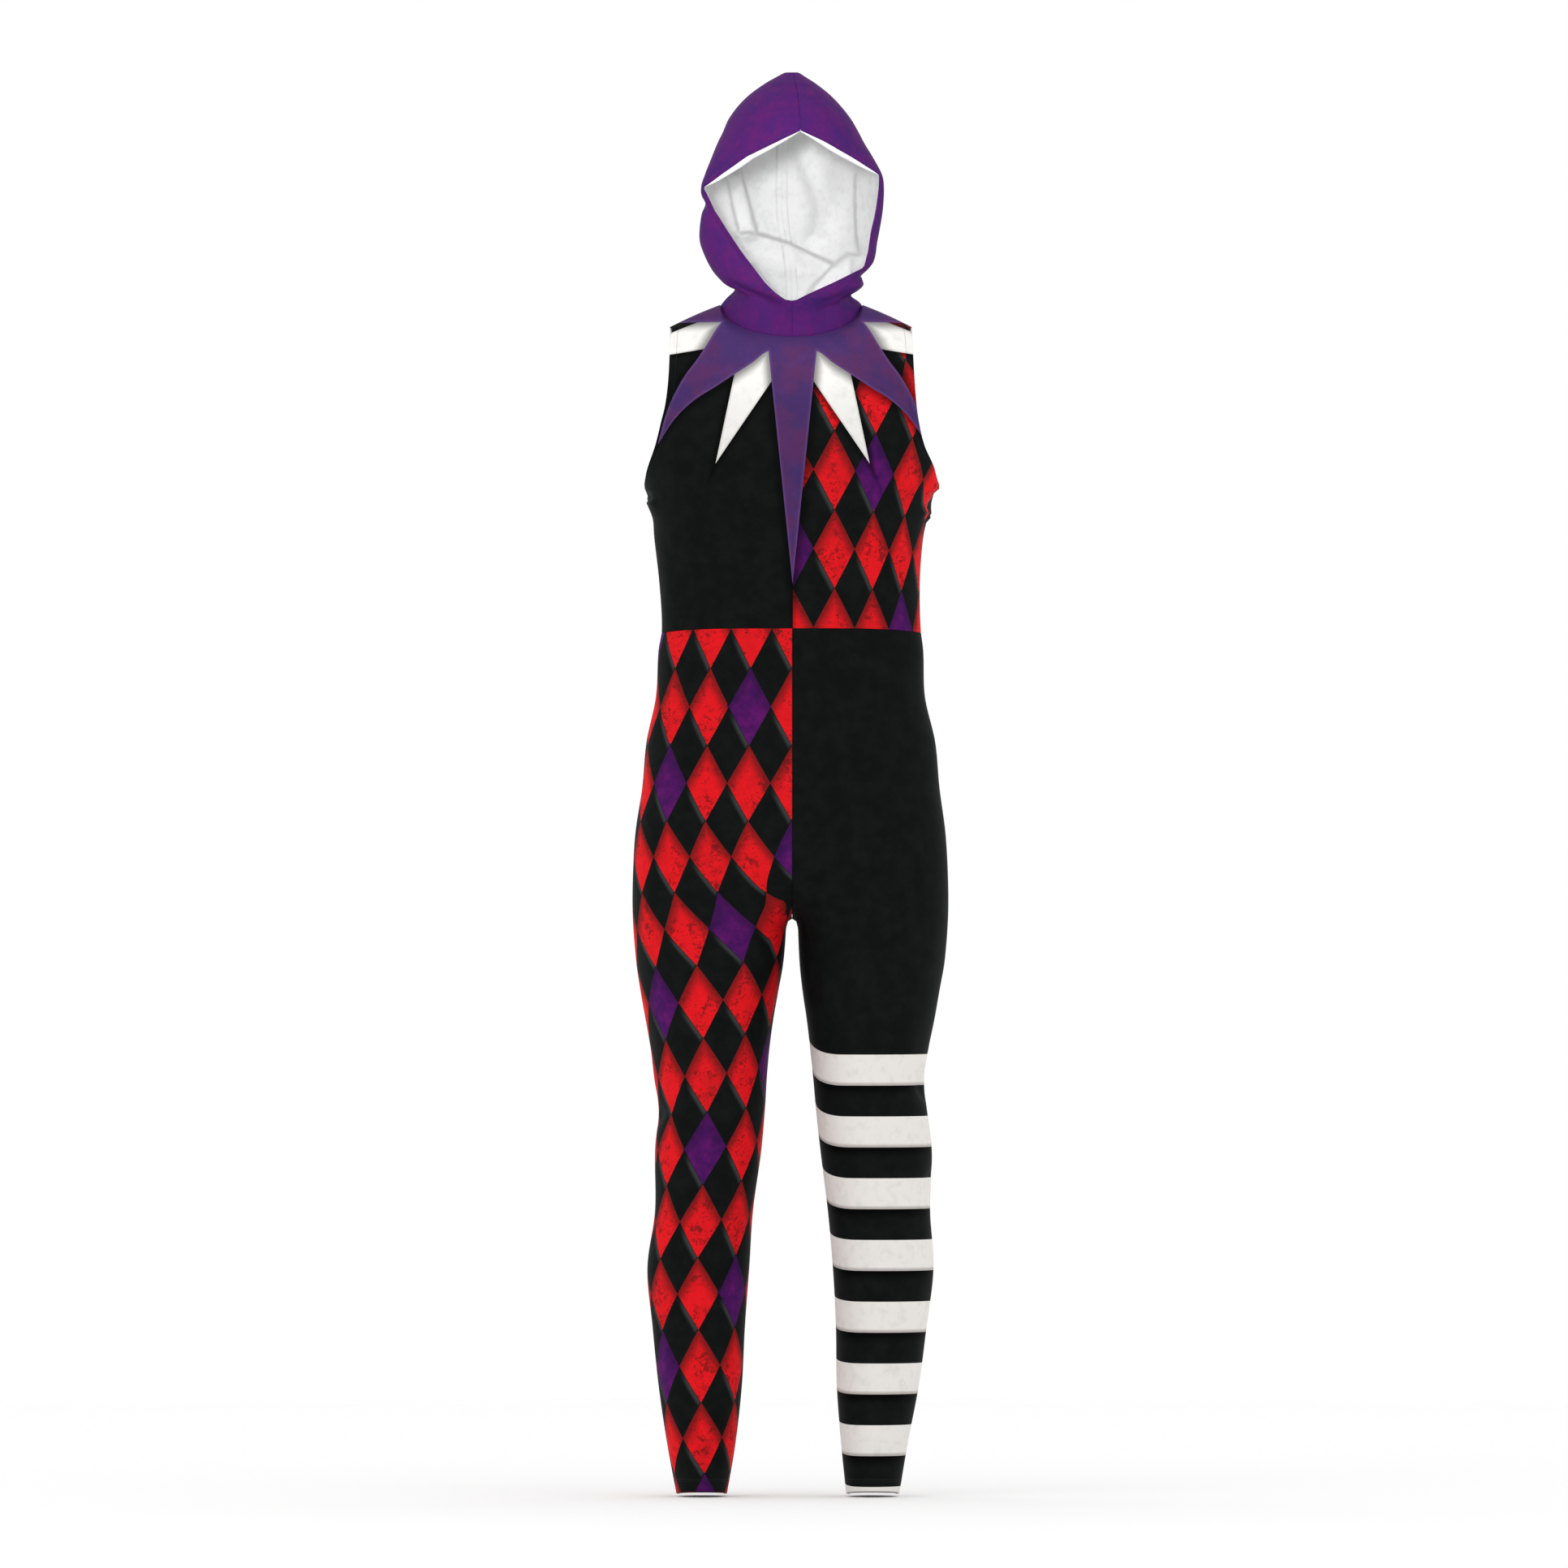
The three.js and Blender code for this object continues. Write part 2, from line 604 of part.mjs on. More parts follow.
function pullGeometry() {
  const end = -pull.length + pull.endHalf;
  const outline = new THREE.Shape();
  outline.moveTo(-pull.topHalf, pull.bar);
  outline.lineTo(-pull.topHalf, -pull.neck);
  outline.absarc(0, end, pull.endHalf, Math.PI, 2 * Math.PI, false);
  outline.lineTo(pull.topHalf, -pull.neck);
  outline.lineTo(pull.topHalf, pull.bar);
  const eye = new THREE.Path();
  eye.moveTo(-pull.eyeHalf, -pull.bar);
  eye.lineTo(pull.eyeHalf, -pull.bar);
  eye.lineTo(pull.eyeHalf, -pull.eyeEnd);
  eye.lineTo(-pull.eyeHalf, -pull.eyeEnd);
  outline.holes.push(eye);
  return plateGeometry(outline, pull.thick).translate(0, -pull.thick / 2, 0);
}

// The slider sits at the top of the chain, tilted to the back, and its pull hangs from the bridge.
function addSlider() {
  const level = 2 - zip.sliderDrop / bodicePoint(1, false, 0, 1).distanceTo(bodicePoint(1, false, 0, 2));
  const seat = bodicePoint(1, false, 0, level);
  const up = bodicePoint(1, false, 0, level + probe).sub(bodicePoint(1, false, 0, level - probe)).normalize();
  const mount = new THREE.Group();
  mount.position.copy(seat);
  mount.rotation.x = -Math.atan2(up.y, up.z);
  unitard.add(mount);
  const seated = new THREE.Group();
  seated.position.y = zip.sliderLift;
  mount.add(seated);
  addPiece("zip_slider", sliderGeometry(), zipMetal, seated);
  const hinge = new THREE.Group();
  hinge.position.y = slider.thick + bridge.inner;
  seated.add(hinge);
  addPiece("zip_pull", pullGeometry(), zipMetal, hinge);
}

addHood();
addBodice();
addLegs();
addZip();
addSlider();

export default unitard;
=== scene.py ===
# Hooded harlequin unitard: its cloth, seams, hems, print and zip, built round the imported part.
# Forms are worked out in millimetres and built in metres, in the part's own frame.
import math

import bmesh
import bpy
import numpy as np
from mathutils import Matrix, Vector


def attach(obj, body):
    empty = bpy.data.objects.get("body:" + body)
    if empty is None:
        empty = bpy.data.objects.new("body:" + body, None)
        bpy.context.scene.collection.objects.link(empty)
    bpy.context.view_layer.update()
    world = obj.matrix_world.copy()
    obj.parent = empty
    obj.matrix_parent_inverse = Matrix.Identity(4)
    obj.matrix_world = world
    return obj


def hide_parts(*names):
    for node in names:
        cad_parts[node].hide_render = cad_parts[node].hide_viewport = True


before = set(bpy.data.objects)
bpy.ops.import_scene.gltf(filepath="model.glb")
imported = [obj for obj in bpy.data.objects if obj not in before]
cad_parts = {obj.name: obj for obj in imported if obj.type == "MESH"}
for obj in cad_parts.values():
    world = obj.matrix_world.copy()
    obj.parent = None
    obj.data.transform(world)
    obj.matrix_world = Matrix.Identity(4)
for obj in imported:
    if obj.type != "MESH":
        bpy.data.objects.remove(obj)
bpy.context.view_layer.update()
print("frame loaded")


# Forms: the part's own, with a flatter tip to the hood and the front of each ankle hem raised

def table(names, rows):
    return dict(zip(names.split(), np.array(rows, float).T))


waistZ, underarmZ, yokeZ, hemZ = -366, -200, -110, -1375
armholeTurn = math.radians(32)
squareness = 0.9
yokeEnd = {"front": (0.7, 0.7), "back": (0.45, 0.9)}
neck = {"right": 83, "left": 81, "front": -62, "middle": 4, "back": 60, "top": 12, "frontDrop": 38, "backDrop": 10}
shoulder = {"right": 143, "left": 140, "y": 0, "z": -14, "crown": 1}
neckShare = 0.5
crotch = {"z": -703, "seamTop": -618, "archHeight": 14, "reach": 0.15, "dip": 72, "spread": 75}
hipBlend = {"top": -600, "bottom": -770}
waistSeam = {"dip": 4.7, "over": 120}
hemFront = {"raised": 4, "over": 45, "power": 0.7}
hoodTurn = {"angle": math.radians(6), "from": 15, "to": 135}
faceStart = 2.97  # the hood's step at which its front opens
probe = 0.004

body = table("z right left front side back innerRight innerLeft", [
    [-110, 173, 169, -97, 0, 93, 6.5, 6.5],
    [-127, 177, 171, -104, 0, 96, 6.5, 6.5],
    [-153, 179, 173, -112, 0, 99, 6.5, 6.5],
    [-180, 179, 176, -117, 0, 100, 6.5, 6.5],
    [-206, 171, 166, -117, 0, 99, 6.5, 6.5],
    [-233, 163, 159, -113, -2, 96, 6.5, 6.5],
    [-259, 161, 153, -107, -4, 91, 6.5, 6.5],
    [-312, 155, 149, -97, -7, 81, 6.5, 6.5],
    [-366, 152, 150, -91, -8, 76, 6.5, 6.5],
    [-392, 156, 153, -92, -7, 79, 6.5, 6.5],
    [-445, 159, 155, -96, -2, 91, 6.5, 6.5],
    [-498, 170, 167, -98, 3, 106, 6.5, 6.5],
    [-551, 175, 172, -99, 7, 117, 6.5, 6.5],
    [-604, 183, 179, -97, 9, 122, 6.5, 6.5],
    [-657, 186, 182, -93, 9, 120, 6.5, 6.5],
    [-703, 186, 182, -91, 7, 108, 6.5, 6.5],
    [-754, 182, 178, -89, 3, 97, 10, 8.5],
    [-788, 177, 172, -87, 1, 92, 16, 12],
    [-822, 171, 166, -85, 0, 87, 22, 17],
    [-856, 165, 159, -83, -2, 80, 26.5, 21],
    [-890, 161, 154, -81, -5, 72, 29.5, 24.5],
    [-924, 156, 157, -79, -7, 65, 31.5, 27.5],
    [-975, 160, 163, -73, -6, 58, 36, 33],
    [-1044, 160, 161, -66, -2, 62, 45.5, 41.5],
    [-1112, 169, 165, -60, 3, 70, 50, 47.5],
    [-1180, 163, 157, -56, 5, 66, 55, 51],
    [-1248, 156, 148, -52, 4, 56, 58.5, 52],
    [-1316, 146, 135, -48, 2, 45, 66, 57],
    [-1375, 135, 125, -45, -1, 37, 76, 63],
])

hood = table("step zFront zSide zBack right left front middle back edgeRight edgeLeft", [
    [0, -26, 12, 2, 83, 81, -62, 4, 60, 0, 0],
    [1, -12, 20, 14, 77, 76, -66, 2, 58, 0, 0],
    [2, 2, 28, 26, 73, 74, -75, 0, 60, 0, 0],
    [3, 15, 36, 38, 75, 79, -85, -2, 66, 8, 5],
    [4, 23, 45, 48, 85, 82, -90, -6, 74, 19, 20],
    [5, 35, 56, 60, 95, 88, -93, -10, 84, 32, 46],
    [6, 54, 72, 76, 104, 96, -95, -14, 95, 48, 83],
    [7, 74, 86, 90, 109, 98, -95, -18, 104, 65, 87],
    [8, 95, 101, 105, 110, 100, -96, -28, 111, 81, 88],
    [9, 120, 122, 125, 109, 102, -97, -40, 116, 98, 92],
    [10, 147, 147, 147, 111, 102, -98, -52, 118, 111, 95],
    [11, 163, 163, 163, 106, 100, -99, -48, 118, 90, 96],
    [12, 183, 183, 183, 97, 91, -99, -35, 116, 62, 61],
    [13, 200, 200, 200, 89, 82, -97, -22, 111, 27, 29],
    [14, 213, 213, 213, 82, 76, -94, -14, 105, 0, 0],
    [15, 228, 228, 228, 75, 68, -86, -8, 97, 0, 0],
    [16, 243, 243, 243, 64, 57, -73, -3, 84, 0, 0],
    [17, 257, 257, 257, 50, 44, -57, 0, 67, 0, 0],
    [18, 270, 270, 270, 32, 28, -38, 2, 46, 0, 0],
    [19, 278, 278, 278, 18, 16, -20, 4, 26, 0, 0],
    [20, 283, 283, 283, 8, 8, -10, 5, 17, 0, 0],
    [21, 283, 283, 283, 0.5, 0.5, -6, 5, 14, 0, 0],
])

# Broad folds: a middle, the direction along the fold, then its length, width and depth
folds = [
    [-42, -72, 20, 0.86, -0.28, -0.43, 34, 9, 6],
    [52, -66, 12, 0.9, 0.3, 0.3, 26, 8, 5],
    [66, -52, 36, 0.75, 0.6, 0.2, 26, 9, -4],
    [-165, -14, -214, 0.35, -0.9, 0.2, 26, 8, 5],
    [162, -14, -226, -0.35, -0.9, 0.2, 26, 8, 5],
    [-148, -30, -931, 0.6, -0.75, 0.25, 30, 9, 5],
    [150, -30, -903, -0.6, -0.75, 0.25, 30, 9, 5],
    [154, -26, -1008, -0.6, -0.75, -0.2, 26, 8, 4],
    [-38, -84, -668, 0.75, 0.3, -0.6, 40, 10, 4],
    [38, -84, -668, -0.75, 0.3, -0.6, 40, 10, 4],
    [-95, 84, -735, 0.95, 0.2, -0.2, 55, 12, 5],
    [95, 84, -735, -0.95, 0.2, -0.2, 55, 12, 5],
    [-92, 52, -935, 1, 0, 0.1, 40, 11, 5],
    [92, 52, -935, 1, 0, -0.1, 40, 11, 5],
]


def ease(t):
    c = np.clip(t, 0, 1)
    return c * c * (3 - 2 * c)


def lerp(a, b, t):
    return a + (b - a) * t


def straight(rows, key, name, at):
    sign = 1 if rows[key][-1] > rows[key][0] else -1
    return np.interp(sign * at, sign * rows[key], rows[name])


def curve(rows, key, name, at):
    keys, values = rows[key], rows[name]
    count = len(keys)
    sign = 1 if keys[-1] > keys[0] else -1
    before = np.maximum(np.arange(count) - 1, 0)
    after = np.minimum(np.arange(count) + 1, count - 1)
    slopes = (values[after] - values[before]) / (keys[after] - keys[before])
    i = np.clip(np.searchsorted(sign * keys, sign * np.asarray(at), side="right") - 1, 0, count - 2)
    span = keys[i + 1] - keys[i]
    t = np.clip((at - keys[i]) / span, 0, 1)
    rise, fall = slopes[i] * span, slopes[i + 1] * span
    start, end = values[i], values[i + 1]
    return start + t * (rise + t * (3 * (end - start) - 2 * rise - fall + t * (2 * (start - end) + rise + fall)))


def bySide(side, right, left):
    return np.where(side < 0, right, left)


def bodyAt(name, z):
    return curve(body, "z", name, z)


def hoodAt(name, v):
    return curve(hood, "step", name, v)


def sideCurve(side, z, right="right", left="left"):
    return bySide(side, bodyAt(right, z), bodyAt(left, z))


def depthAt(isFront, z):
    return np.where(isFront, bodyAt("front", z), bodyAt("back", z)) - bodyAt("side", z)


def unit(vectors):
    return vectors / np.maximum(np.linalg.norm(vectors, axis=-1, keepdims=True), 1e-9)


def trunkPoint(side, angle, z):
    turn = np.cos(angle)
    x = side * sideCurve(side, z) * np.abs(np.sin(angle)) ** squareness
    y = bodyAt("side", z) + depthAt(turn > 0, z) * np.abs(turn) ** squareness
    return np.stack(np.broadcast_arrays(x, y, z), -1)


def bodiceSection(side, isFront, u, z):
    t = np.clip((z - underarmZ) / (yokeZ - underarmZ), 0, 1)
    angle = u * (math.pi / 2 - armholeTurn * np.sqrt(1 - (1 - t) ** 2))
    return trunkPoint(side, angle if isFront else math.pi - angle, z)


def topEdge(side, isFront, u):
    neckX = bySide(side, neck["right"], neck["left"])
    angle = np.clip(u / neckShare, 0, 1) * math.pi / 2
    depth = neck["front" if isFront else "back"] - neck["middle"]
    drop = neck["frontDrop" if isFront else "backDrop"]
    t = np.clip((u - neckShare) / (1 - neckShare), 0, 1)
    neckline = [side * neckX * np.sin(angle), neck["middle"] + depth * np.cos(angle), neck["top"] - drop * np.cos(angle)]
    seam = [
        side * lerp(neckX, bySide(side, shoulder["right"], shoulder["left"]), t),
        lerp(neck["middle"], shoulder["y"], t),
        lerp(neck["top"], shoulder["z"], t) + shoulder["crown"] * np.sin(t * math.pi),
    ]
    return np.stack([np.where(u <= neckShare, a, b) for a, b in zip(neckline, seam)], -1)


# How far the waist seam dips towards the sides, at an angle from the centre front or back
def waistDip(angle):
    return waistSeam["dip"] * np.sin(angle) ** 4


def bodicePoint(side, isFront, u, v):
    z = lerp(waistZ, yokeZ, np.minimum(v, 1)) - waistDip(u * math.pi / 2) * ease(1 - 2 * v)
    section = bodiceSection(side, isFront, u, z)
    top = topEdge(side, isFront, u)
    reach = np.linalg.norm(top - bodiceSection(side, isFront, u, yokeZ + 0 * u), axis=-1)[..., None]
    foot = bodiceSection(side, isFront, u, yokeZ + 0 * u)
    below = bodiceSection(side, isFront, u, yokeZ + probe * (waistZ - yokeZ) + 0 * u)
    lean = ease(u / neckShare)
    inward, upward = yokeEnd["front" if isFront else "back"]
    end = unit(np.stack([0 * u, (1 if isFront else -1) * lerp(inward, 1, lean), lerp(upward, 0, lean)], -1))
    s = np.clip(v - 1, 0, 1)[..., None]
    rise = foot * (1 - ease(s)) + unit(foot - below) * reach * s * (1 - s) ** 2
    yoke = rise + top * ease(s) + end * reach * s * s * (s - 1)
    return np.where((v > 1)[..., None], yoke, section)


def legPoint(side, u, z):
    hip = trunkPoint(side, math.pi * u, z)
    arch = np.clip((crotch["z"] - z) / crotch["archHeight"], 0, 1)
    inner = np.sqrt(1 - (1 - arch) ** 2) * sideCurve(side, z, "innerRight", "innerLeft")
    outer = sideCurve(side, z)
    sine = np.sin(2 * math.pi * u)
    thigh = np.stack([
        side * ((inner + outer) / 2 - (outer - inner) / 2 * np.cos(2 * math.pi * u)),
        bodyAt("side", z) + depthAt(sine > 0, z) * np.abs(sine),
        z,
    ], -1)
    fall = np.clip((crotch["seamTop"] - z) / (crotch["seamTop"] - crotch["z"]), 0, 1)
    atSeam = 1 - np.sqrt(1 - fall ** 2)
    atSide = ease((hipBlend["top"] - z) / (hipBlend["top"] - hipBlend["bottom"]))
    blend = lerp(atSeam, atSide, ease(np.minimum(u, 1 - u) / crotch["reach"]))[..., None]
    return hip * (1 - blend) + thigh * blend


def ringHeight(ring, u):
    lift = crotch["dip"] * np.exp(-(((ring - crotch["z"] + crotch["dip"]) / crotch["spread"]) ** 2))
    dip = waistDip(u * math.pi) * ease(1 - (waistZ - ring) / waistSeam["over"])
    atHem = ease(1 - (ring - hemZ) / hemFront["over"])
    raised = hemFront["raised"] * atHem * np.maximum(0, np.sin(2 * math.pi * u)) ** hemFront["power"]
    return ring + lift * np.maximum(0, 1 - np.minimum(u, 1 - u) / crotch["reach"]) - dip + raised


def hoodPoint(side, u, v):
    width = hoodAt("right" if side < 0 else "left", v)
    edge = straight(hood, "step", "edgeRight" if side < 0 else "edgeLeft", v) * (v > faceStart)
    start = np.arcsin(np.clip(edge / width, 0, 1))
    angle = lerp(start, math.pi, u)
    middle, zSide = hoodAt("middle", v), hoodAt("zSide", v)
    isFront = angle < math.pi / 2
    frontShare = (angle - start) / np.maximum(math.pi / 2 - start, 1e-6)
    share = np.where(isFront, frontShare, (math.pi - angle) / (math.pi / 2))
    zEnd = np.where(isFront, straight(hood, "step", "zFront", v), hoodAt("zBack", v))
    yEnd = np.where(isFront, hoodAt("front", v), hoodAt("back", v))
    x = side * width * np.sin(angle)
    y = middle + (yEnd - middle) * np.abs(np.cos(angle))
    z = zSide + (zEnd - zSide) * np.cos(share * math.pi / 2)
    turn = hoodTurn["angle"] * ease((z - hoodTurn["from"]) / (hoodTurn["to"] - hoodTurn["from"]))
    return np.stack([x * np.cos(turn) - y * np.sin(turn), x * np.sin(turn) + y * np.cos(turn), z], -1)


# Finer creases: a name, the face, the depth, how wide they are to the left and right of a line for someone who walks
# along it, and the line, in X and Z on the front or back and in Y and Z on the wearer's sides
creases = [
    ("cowl right", "front", 6, 1.6, 15, [[-74, 40], [-60, 27], [-33, 13], [-12, 6]]),
    ("cowl left", "front", 5.5, 14, 1.6, [[82, 40], [71, 22], [60, 15], [42, 7], [26, 2]]),
    ("edge right", "front", 3.6, 5, 3, [[-101, 132], [-82, 98], [-61, 65], [-41, 44]]),
    ("cowl notch right", "right", 6, 3, 8, [[-66, 22], [-30, 30], [10, 32], [60, 34]]),
    ("cowl notch left", "left", 6, 7, 4, [[60, 30], [20, 24], [-20, 21], [-60, 18]]),
    ("cowl lobe left", "left", -4, 6, 5, [[60, 44], [20, 38], [-20, 34], [-60, 32]]),
    ("cowl tuck left", "left", 5, 2.5, 6, [[50, 56], [20, 50], [-20, 45], [-62, 42]]),
    ("corner notch", "right", 4.5, 7, 8, [[-72, 124], [-40, 129], [0, 131], [40, 126]]),
    ("fold 1", "back", 10, 1.4, 15, [[-79, 166], [-72, 132], [-67, 110], [-61, 90]]),
    ("fold 2", "back", 17, 1.6, 20, [[-64, 178], [-55, 144], [-48, 117], [-40, 88]]),
    ("fold 3", "back", 14, 18, 1.6, [[76, 172], [75, 140], [76, 105], [80, 68]]),
    ("fold 4", "back", 7, 16, 12, [[56, 184], [52, 146], [46, 117], [32, 88]]),
    (
        "pocket", "back", 9, 13, 9,
        [[4, 208], [12, 184], [20, 166], [28, 146], [33, 127], [29, 105], [21, 91], [8, 79]],
    ),
    ("nape 1", "back", 19, 3, 14, [[-70, 93], [-50, 95], [-31, 92], [-2, 82], [32, 66], [56, 54]]),
    ("nape 2", "back", 15, 13, 2.6, [[88, 66], [66, 70], [52, 60], [38, 45], [26, 33], [16, 20]]),
    ("nape 3", "back", 9, 2, 12, [[-48, 62], [-37, 46], [-27, 34], [-18, 24]]),
    ("underarm right", "right", -5, 12, 1.5, [[40, -212], [10, -217], [-15, -219], [-50, -216]]),
    ("underarm left", "left", -4.5, 1.5, 10, [[40, -198], [10, -203], [-15, -205], [-50, -200]]),
    ("underarm left low", "left", -4.5, 1.5, 11, [[40, -230], [10, -235], [-15, -237], [-50, -233]]),
]
creaseFade = {"face": 12, "ends": 0.16}
facings = {"front": (0, -1), "back": (0, 1), "right": (1, -1), "left": (1, 1)}


# The length run at each point of a line, from the steps between its points
def runOf(steps):
    return np.concatenate([[0], np.cumsum(np.linalg.norm(steps, axis=1))])


# How far each flat point lies from a line, which side it is on, and how far along it is
def alongLine(flat, line):
    line = np.array(line, float)
    starts, steps = line[:-1], np.diff(line, axis=0)
    before = runOf(steps)
    away = np.full(flat.shape[:-1], np.inf)
    side, run = np.zeros(away.shape), np.zeros(away.shape)
    for i, (start, step) in enumerate(zip(starts, steps)):
        offset = flat - start
        t = np.clip(offset @ step / (step @ step), 0, 1)
        gap = np.linalg.norm(offset - t[..., None] * step, axis=-1)
        closer = gap < away
        away = np.where(closer, gap, away)
        side = np.where(closer, np.sign(step[0] * offset[..., 1] - step[1] * offset[..., 0]), side)
        run = np.where(closer, (before[i] + t * (before[i + 1] - before[i])) / before[-1], run)
    return away, side, run


# How deep the broad folds go in, and where the creases move each point to
def foldDepth(points):
    depth, moved = np.zeros(points.shape[:-1]), np.zeros(points.shape)
    for x, y, z, alongX, alongY, alongZ, length, width, deep in folds:
        away = points - np.array([x, y, z])
        along = unit(np.array([alongX, alongY, alongZ], float))
        run = away @ along
        across = np.linalg.norm(away - run[..., None] * along, axis=-1)
        depth += deep * np.exp(-((run / length) ** 2) - (across / width) ** 2)
    for _, face, deep, left, right, line in creases:
        isSide, sign = facings[face]
        away, side, run = alongLine(points[..., [isSide, 2]], line)
        width = np.where(side > 0, left, right)
        onFace = ease(sign * points[..., 1 - isSide] / creaseFade["face"] - 0.5)
        ends = ease(np.minimum(run, 1 - run) / creaseFade["ends"])
        moved[..., 1 - isSide] -= sign * deep * onFace * ends * np.exp(-((away / width) ** 2))
    return depth, moved


# Cloth panels

cloth = {"thick": 0.65, "bend": 0.7, "fold": 1.8, "seam": 7, "hem": 15, "facing": 11}
rollPath = [(-0.5, 0.05), (-0.9, 0.22), (-1, 0.5), (-0.86, 0.78), (-0.4, 0.98), (0.2, 1.05)]


# Lines across a panel from its low to its high border. Each has its parameter, how far in from the border it lies
# and how deep, how much of a roll's width is added to those two, and 1 where it is past the fold.
# Past a border the cloth turns to the inside and runs back for the allowance. A negative allowance laps straight on.
def panelLines(low, high, count, lowTurn=cloth["seam"], highTurn=cloth["seam"], roll=False):
    bend, deep = cloth["bend"], cloth["fold"]
    rim = [(bend * (1 - math.sin(a)), deep / 2 * (1 - math.cos(a)), 0, 0, 0) for a in np.radians([0, 35, 65, 90])]
    rim += [(0.02, 0.75 * deep, 0, 0, 1), (0.12, 0.93 * deep, 0, 0, 1), (0.4, deep, 0, 0, 1)]
    inner = [(0.5, deep, back, down, 1) for back, down in rollPath] if roll else []

    def turned(allowance, isLow):
        if allowance < 0:
            return [(0.001, 0, 0, 0, 0), (allowance / 3, 0.8, 0, 0, 0), (allowance, 1, 0, 0, 0)]
        if allowance == 0:
            return []
        down = 1.05 * (roll and isLow)
        return rim + inner * isLow + [(allowance / 2, deep, 0, down, 1), (allowance, deep, 0, down, 1)]

    lines = [(low, *line) for line in reversed(turned(lowTurn, True))]
    for share in np.linspace(0, 1, count + 1):
        back = 3 * bend * ((lowTurn != 0) * (1 - share) - (highTurn != 0) * share)
        lines.append((lerp(low, high, share), back, 0, 0, 0, 0))
    lines += [(high, -back, *line) for back, *line in turned(highTurn, False)]
    return np.array(lines, float)


def slope(surface, u, v, du, dv, uRange, vRange):
    ua, ub = np.clip(u - du, *uRange), np.clip(u + du, *uRange)
    va, vb = np.clip(v - dv, *vRange), np.clip(v + dv, *vRange)
    gap = np.maximum(np.maximum(ub - ua, vb - va), 1e-9)[..., None]
    return (surface(ub, vb) - surface(ua, va)) / gap


# The folded cloth at the given parameters, a given depth under its outer face, with its normals and two directions
def foldedPoints(surface, u, v, facing, settle, deep, uRange, vRange):
    du, dv = probe * (uRange[1] - uRange[0]), probe * (vRange[1] - vRange[0])
    along, up = slope(surface, u, v, du, 0, uRange, vRange), slope(surface, u, v, 0, dv, uRange, vRange)
    points = surface(u, v)
    normals = np.cross(along, up) * facing
    normals[..., 0] *= np.where(points[..., 2] < waistZ, ease(np.abs(points[..., 0]) / 9), 1)
    normals = unit(normals)
    depth, moved = foldDepth(points)
    points = points + moved * settle(v)[..., None] - normals * (depth * settle(v) + deep)[..., None]
    return points, normals, along, up


# Points of a panel, with the parameters of each
def panelPoints(surface, uLines, vLines, facing, settle, rollWidth):
    uRange, vRange = (uLines[:, 0].min(), uLines[:, 0].max()), (vLines[:, 0].min(), vLines[:, 0].max())
    du, dv = probe * (uRange[1] - uRange[0]), probe * (vRange[1] - vRange[0])
    u, v = np.meshgrid(uLines[:, 0], vLines[:, 0])
    backU, backV = np.meshgrid(uLines[:, 1], vLines[:, 1])
    deepU, deepV = np.meshgrid(uLines[:, 2], vLines[:, 2])
    wide = rollWidth(v)
    backU = backU + uLines[:, 3] * wide
    deepU = deepU + uLines[:, 4] * wide
    lengthU = np.linalg.norm(slope(surface, u, v, du, 0, uRange, vRange), axis=-1)
    lengthV = np.linalg.norm(slope(surface, u, v, 0, dv, uRange, vRange), axis=-1)
    most = 0.12 * (uRange[1] - uRange[0])
    shiftU = np.clip(backU / np.maximum(lengthU, 1e-3), -most, most)
    pastU = np.where(uLines[:, 0] == uRange[0], np.minimum(backU, 0), 0)
    pastV = np.where(vLines[:, [0]] == vRange[0], np.minimum(backV, 0), 0)
    u = np.clip(u + shiftU, *uRange)
    v = np.clip(v + backV / np.maximum(lengthV, 1e-3), *vRange)
    points, _, along, up = foldedPoints(surface, u, v, facing, settle, deepU + deepV, uRange, vRange)
    return points + unit(along) * pastU[..., None] + unit(up) * pastV[..., None], u, v


def objectFrom(bm, name, smooth=False):
    mesh = bpy.data.meshes.new(name)
    bm.to_mesh(mesh)
    bm.free()
    if smooth:
        mesh.polygons.foreach_set("use_smooth", np.ones(len(mesh.polygons), bool))
    obj = bpy.data.objects.new(name, mesh)
    bpy.context.scene.collection.objects.link(obj)
    return obj


def gridObject(name, points, flip):
    rows, columns = points.shape[:2]
    bm = bmesh.new()
    bmesh.ops.create_grid(bm, x_segments=columns - 1, y_segments=rows - 1, size=0.5)
    if flip:
        bmesh.ops.reverse_faces(bm, faces=bm.faces)
    obj = objectFrom(bm, name, True)
    mesh = obj.data
    flat = np.zeros(len(mesh.vertices) * 3)
    mesh.vertices.foreach_get("co", flat)
    flat = flat.reshape(-1, 3)
    column = np.rint((flat[:, 0] + 0.5) * (columns - 1)).astype(int)
    row = np.rint((flat[:, 1] + 0.5) * (rows - 1)).astype(int)
    mesh.vertices.foreach_set("co", (points[row, column] * 0.001).ravel())
    return obj, row, column


def putVectors(obj, name, values):
    attribute = obj.data.attributes.new(name, "FLOAT_VECTOR", "POINT")
    attribute.data.foreach_set("vector", np.asarray(values, np.float32).ravel())


# The faces whose four corners all lie in the chosen part of the grid
def chosenFaces(obj, chosen):
    corners = np.zeros(len(obj.data.loops), np.int32)
    obj.data.loops.foreach_get("vertex_index", corners)
    return chosen[corners.reshape(-1, 4)].all(1)


